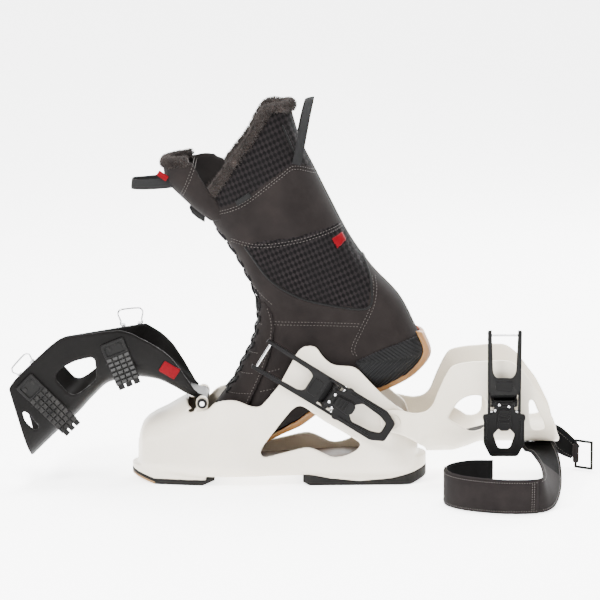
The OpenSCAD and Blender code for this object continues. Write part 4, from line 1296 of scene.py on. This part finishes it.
def lace_row(z):
    """A crossing pair of laces and the two loops that hold it"""
    cords, loops = [], []
    for side in (-1, 1):
        ends = []
        for y in np.linspace(-13 * side, 13 * side, 9):
            share = (y / (13 * side) + 1) / 2
            lift = 0.5 + (0.8 if side > 0 else 0) * (1 - abs(y) / 13)
            ends.append(front_point(z + share * 11 - 2, y, lift))
        if all(p is not None for p in ends):
            cords.append(tube("lace", through(ends, 2), 1.05, "piping", 7))
        eye = [front_point(z + k, side * 15, 0.7) for k in (-3, 0, 3)]
        if all(p is not None for p in eye):
            loops.append(tube("loop", through(eye, 1.5), 1.5, "piping", 8))
    return cords, loops


def make_laces():
    for name, heights in (("low", (100, 112, 124, 136, 149, 163, 177)),
                          ("high", (192, 206, 221, 236, 250, 265))):
        rows = [lace_row(z) for z in heights]
        cords = [cord for row in rows for cord in row[0]]
        loops = [loop for row in rows for loop in row[1]]
        if name == "high":
            tail = [front_point(z, y, 2.0) for z, y in (
                (207, -9), (198, -12), (190, -12.5), (186, -9), (191, -6), (200, -5), (209, -6))]
            cords.append(tube("tail", through(tail, 2), 0.9, "piping", 7))
        lace = finished(join(cords, "lace_run_" + name), "liner", "webbing", "liner_laces")
        hooks = finished(join(loops, "lace_loops_" + name), "liner", "webbing", "lace_hooks")
        if name == "low":
            pressed(lace)
            pressed(hooks)


def plain(_x, _z):
    """Height of a smooth label's face"""
    return 0.9


def make_tags():
    red = draped_patch("liner_red_tag", liner_skin,
                       [(-35.5, 266), (-23.5, 272), (-19, 263), (-29, 255)], NEAR,
                       1.0, plain, "red", 1.2)
    finished(red, "liner", "label_red")
    dark = draped_patch("liner_blank_label", liner_skin,
                        [(-137, 307.5), (-121, 318), (-118, 312), (-134, 301)], NEAR,
                        1.0, plain, "piping", 1.0)
    finished(dark, "liner", "webbing")
    tab = plate(box_line(-6, 6, -3, 3, 1), [], 0.8, 1.6, "red", 0.3,
                beside(-213, -20, 331, 35))
    tab.name = "flap_red_tab"
    finished(tab, "liner", "label_red")


def make_clip():
    hook = prism(rounded([(-186, 296), (-179, 298.5), (-169, 288.5), (-169, 279), (-177, 284),
                          (-183, 289)], 2), -7, 7)
    ease = hook.modifiers.new("ease", "BEVEL")
    ease.width, ease.segments, ease.angle_limit = 0.8 * MM, 2, math.radians(50)
    hook.name = "liner_hook_clip"
    finished(settle(hook), "liner", "rack_plastic", "liner_clip")


make_pull_loops()
make_laces()
make_tags()
make_clip()


# ---------------------------------------------------------------- strap
STRAP_CURL = [((201, -11, 42.4), (167, -11, 42.4)), ((204, -44, 38), (171, -42, 41)),
              ((206, -75, 28), (176, -70, 45)), ((203, -115, 14), (183, -108, 41)),
              ((194, -148, 4), (185, -140, 36))]
STRAP_ROUTE = [(178, -165), (150, -170), (124, -164), (100, -150), (86, -130), (85, -106),
               (94, -88), (112, -76), (135, -75)]
FAR_CURL = [((201, 11, 42.4), (167, 11, 42.4)), ((205, 30, 36), (180, 30, 44)),
            ((209, 46, 26), (197, 45, 50)), ((212, 51.5, 20), (208, 51, 46)),
            ((224, 50.5, 12), (224, 50.5, 34)), ((231, 48.6, 9.5), (231, 48.6, 26.5))]
STRAP_LOW, STRAP_HIGH = 0.8, 36.8


def strap_lines(both):
    """Middle line, width vectors and their lengths, unit widths and face normals of two edges"""
    low, high = both[:, :3], both[:, 3:]
    middle, wide = (low + high) / 2, high - low
    size = np.linalg.norm(wide, axis=1)
    unit = wide / size[:, None]
    tangent = np.gradient(middle, axis=0)
    out = np.cross(unit, tangent / np.linalg.norm(tangent, axis=1)[:, None])
    return middle, wide, size, unit, out


def make_strap():
    low = [a for a, _ in STRAP_CURL] + [(x, y, STRAP_LOW) for x, y in STRAP_ROUTE]
    high = [b for _, b in STRAP_CURL] + [(x, y, STRAP_HIGH) for x, y in STRAP_ROUTE]
    middle, wide, _, unit, out = strap_lines(through(np.hstack([low, high]), 3.0))
    band = ribbon("strap_near", middle, wide, 36, 2.4, "strap", "loop", 9)
    hanging = sum(p[2] > 32 for p in middle)
    for i, polygon in enumerate(band.data.polygons):
        if i < hanging * 18:
            polygon.material_index = 1
    flat_patch = plate(box_line(166, 202, -12, 12, 2), [], 0, 2.4, "strap", 0.6,
                       Matrix.Translation((0, 0, 0.0424 + 0.0012)) @ Matrix.Rotation(math.pi / 2, 4, "X"))
    front = [k for k in range(len(middle)) if middle[k][0] < 177.5 and middle[k][1] < -104]
    outward = out if (out[front[0]] @ np.array([0, -1, 0])) > 0 else -out
    overlay_path = middle[front] + outward[front] * 1.9
    overlay = ribbon("overlay", overlay_path, wide[front], 35.4, 1.5, "strap", None, 9)
    edges = []
    for share in (-0.5, 0.5):
        edges.append(overlay_path + unit[front] * share * 30 + outward[front] * 0.8)
    for inset in (2.5, 5.0):
        k = int(np.argmin(np.abs(overlay_path[:, 0] - (176 - inset)) + (overlay_path[:, 1] > -150) * 99))
        edges.append(np.array([overlay_path[k] + unit[front][k] * s + outward[front][k] * 0.8
                               for s in np.linspace(-15, 15, 20)]))
    rest = [k for k in range(len(middle)) if middle[k][0] > 178]
    for share in (-0.5, 0.5):
        edges.append(middle[rest] + unit[rest] * share * 30 + outward[rest] * 1.3)
    stitches = dashes("strap_stitching", edges, 2.6, 1.7, 0.34)
    band = join([band, overlay, flat_patch], "power_strap_band")
    finished(band, "cuff", "strap_suede", "power_strap")
    finished(stitches, "cuff", "webbing")


def make_far_strap():
    """The inner side's arm: it turns down from under the cuff and folds round the ring's bar"""
    middle, wide, size, unit, out = strap_lines(through([a + b for a, b in FAR_CURL], 3.0))
    arm = ribbon("power_strap_far_arm", middle, wide, size, 2.4, "strap", "loop", 9)
    turns = np.linspace(-math.pi * 0.9, math.pi * 0.9, 22)
    eye = [(231 + 2.7 * math.cos(t - 1.2), 46 + 2.7 * math.sin(t - 1.2), 18) for t in turns]
    fold = ribbon("fold", eye, (0, 0, 1), 20, 1.4, "strap", None, 5)
    edges = [middle + unit * share * (size[:, None] - 6) + out * face * 1.25
             for share in (-0.5, 0.5) for face in (-1, 1)]
    finished(join([arm, fold], "power_strap_far_arm"), "cuff", "strap_suede", "power_strap")
    finished(dashes("far_strap_stitching", edges, 2.6, 1.7, 0.34), "cuff", "webbing")


make_strap()
make_far_strap()


# ---------------------------------------------------------------- floor and light
def make_stage():
    mat = bpy.data.materials.new("studio_paper")
    mat.use_nodes = True
    tree = mat.node_tree
    bsdf = tree.nodes["Principled BSDF"]
    place = add(tree, "ShaderNodeTexCoord").outputs["Object"]
    shade = spread(tree, noise(tree, place, 2.0), 0.3, 0.7, 0, 1)
    tree.links.new(blend(tree, shade, (0.9, 0.9, 0.9), (0.92, 0.92, 0.92)), bsdf.inputs["Base Color"])
    bsdf.inputs["Roughness"].default_value = 0.9
    bsdf.inputs["Emission Color"].default_value = (1, 1, 1, 1)
    bsdf.inputs["Emission Strength"].default_value = 3.0
    profile = [(-6, 0), (2, 0)] + [(2 + 2 * math.sin(t), 2 - 2 * math.cos(t))
                                   for t in np.linspace(0.1, math.pi / 2, 12)] + [(4, 9)]
    verts = [(x, y, z) for y, z in profile for x in (-7, 7)]
    faces = [[2 * i, 2 * i + 1, 2 * i + 3, 2 * i + 2] for i in range(len(profile) - 1)]
    mesh = bpy.data.meshes.new("studio_floor")
    mesh.from_pydata(verts, [], faces)
    mesh.materials.append(mat)
    mesh.polygons.foreach_set("use_smooth", [True] * len(faces))
    floor = bpy.data.objects.new("studio_floor", mesh)
    bpy.context.scene.collection.objects.link(floor)


def area_light(name, at, size, power):
    data = bpy.data.lights.new(name, "AREA")
    data.shape, data.size, data.energy = "DISK", size, power
    light = bpy.data.objects.new(name, data)
    light.location = at
    light.rotation_euler = (VIEW_CENTRE - Vector(at)).to_track_quat("-Z", "Y").to_euler()
    bpy.context.scene.collection.objects.link(light)


def make_lights():
    world = bpy.data.worlds.new("studio")
    world.use_nodes = True
    background = world.node_tree.nodes["Background"]
    background.inputs[0].default_value = (1, 1, 1, 1)
    background.inputs[1].default_value = 0.55
    bpy.context.scene.world = world
    area_light("key", (-1.3, -1.5, 1.7), 0.9, 150)
    area_light("fill", (1.6, -1.3, 0.8), 1.2, 26)
    area_light("top", (0.1, 0.2, 2.2), 1.4, 150)
    area_light("rim", (0.9, 1.7, 1.2), 1.0, 60)


make_stage()
make_lights()
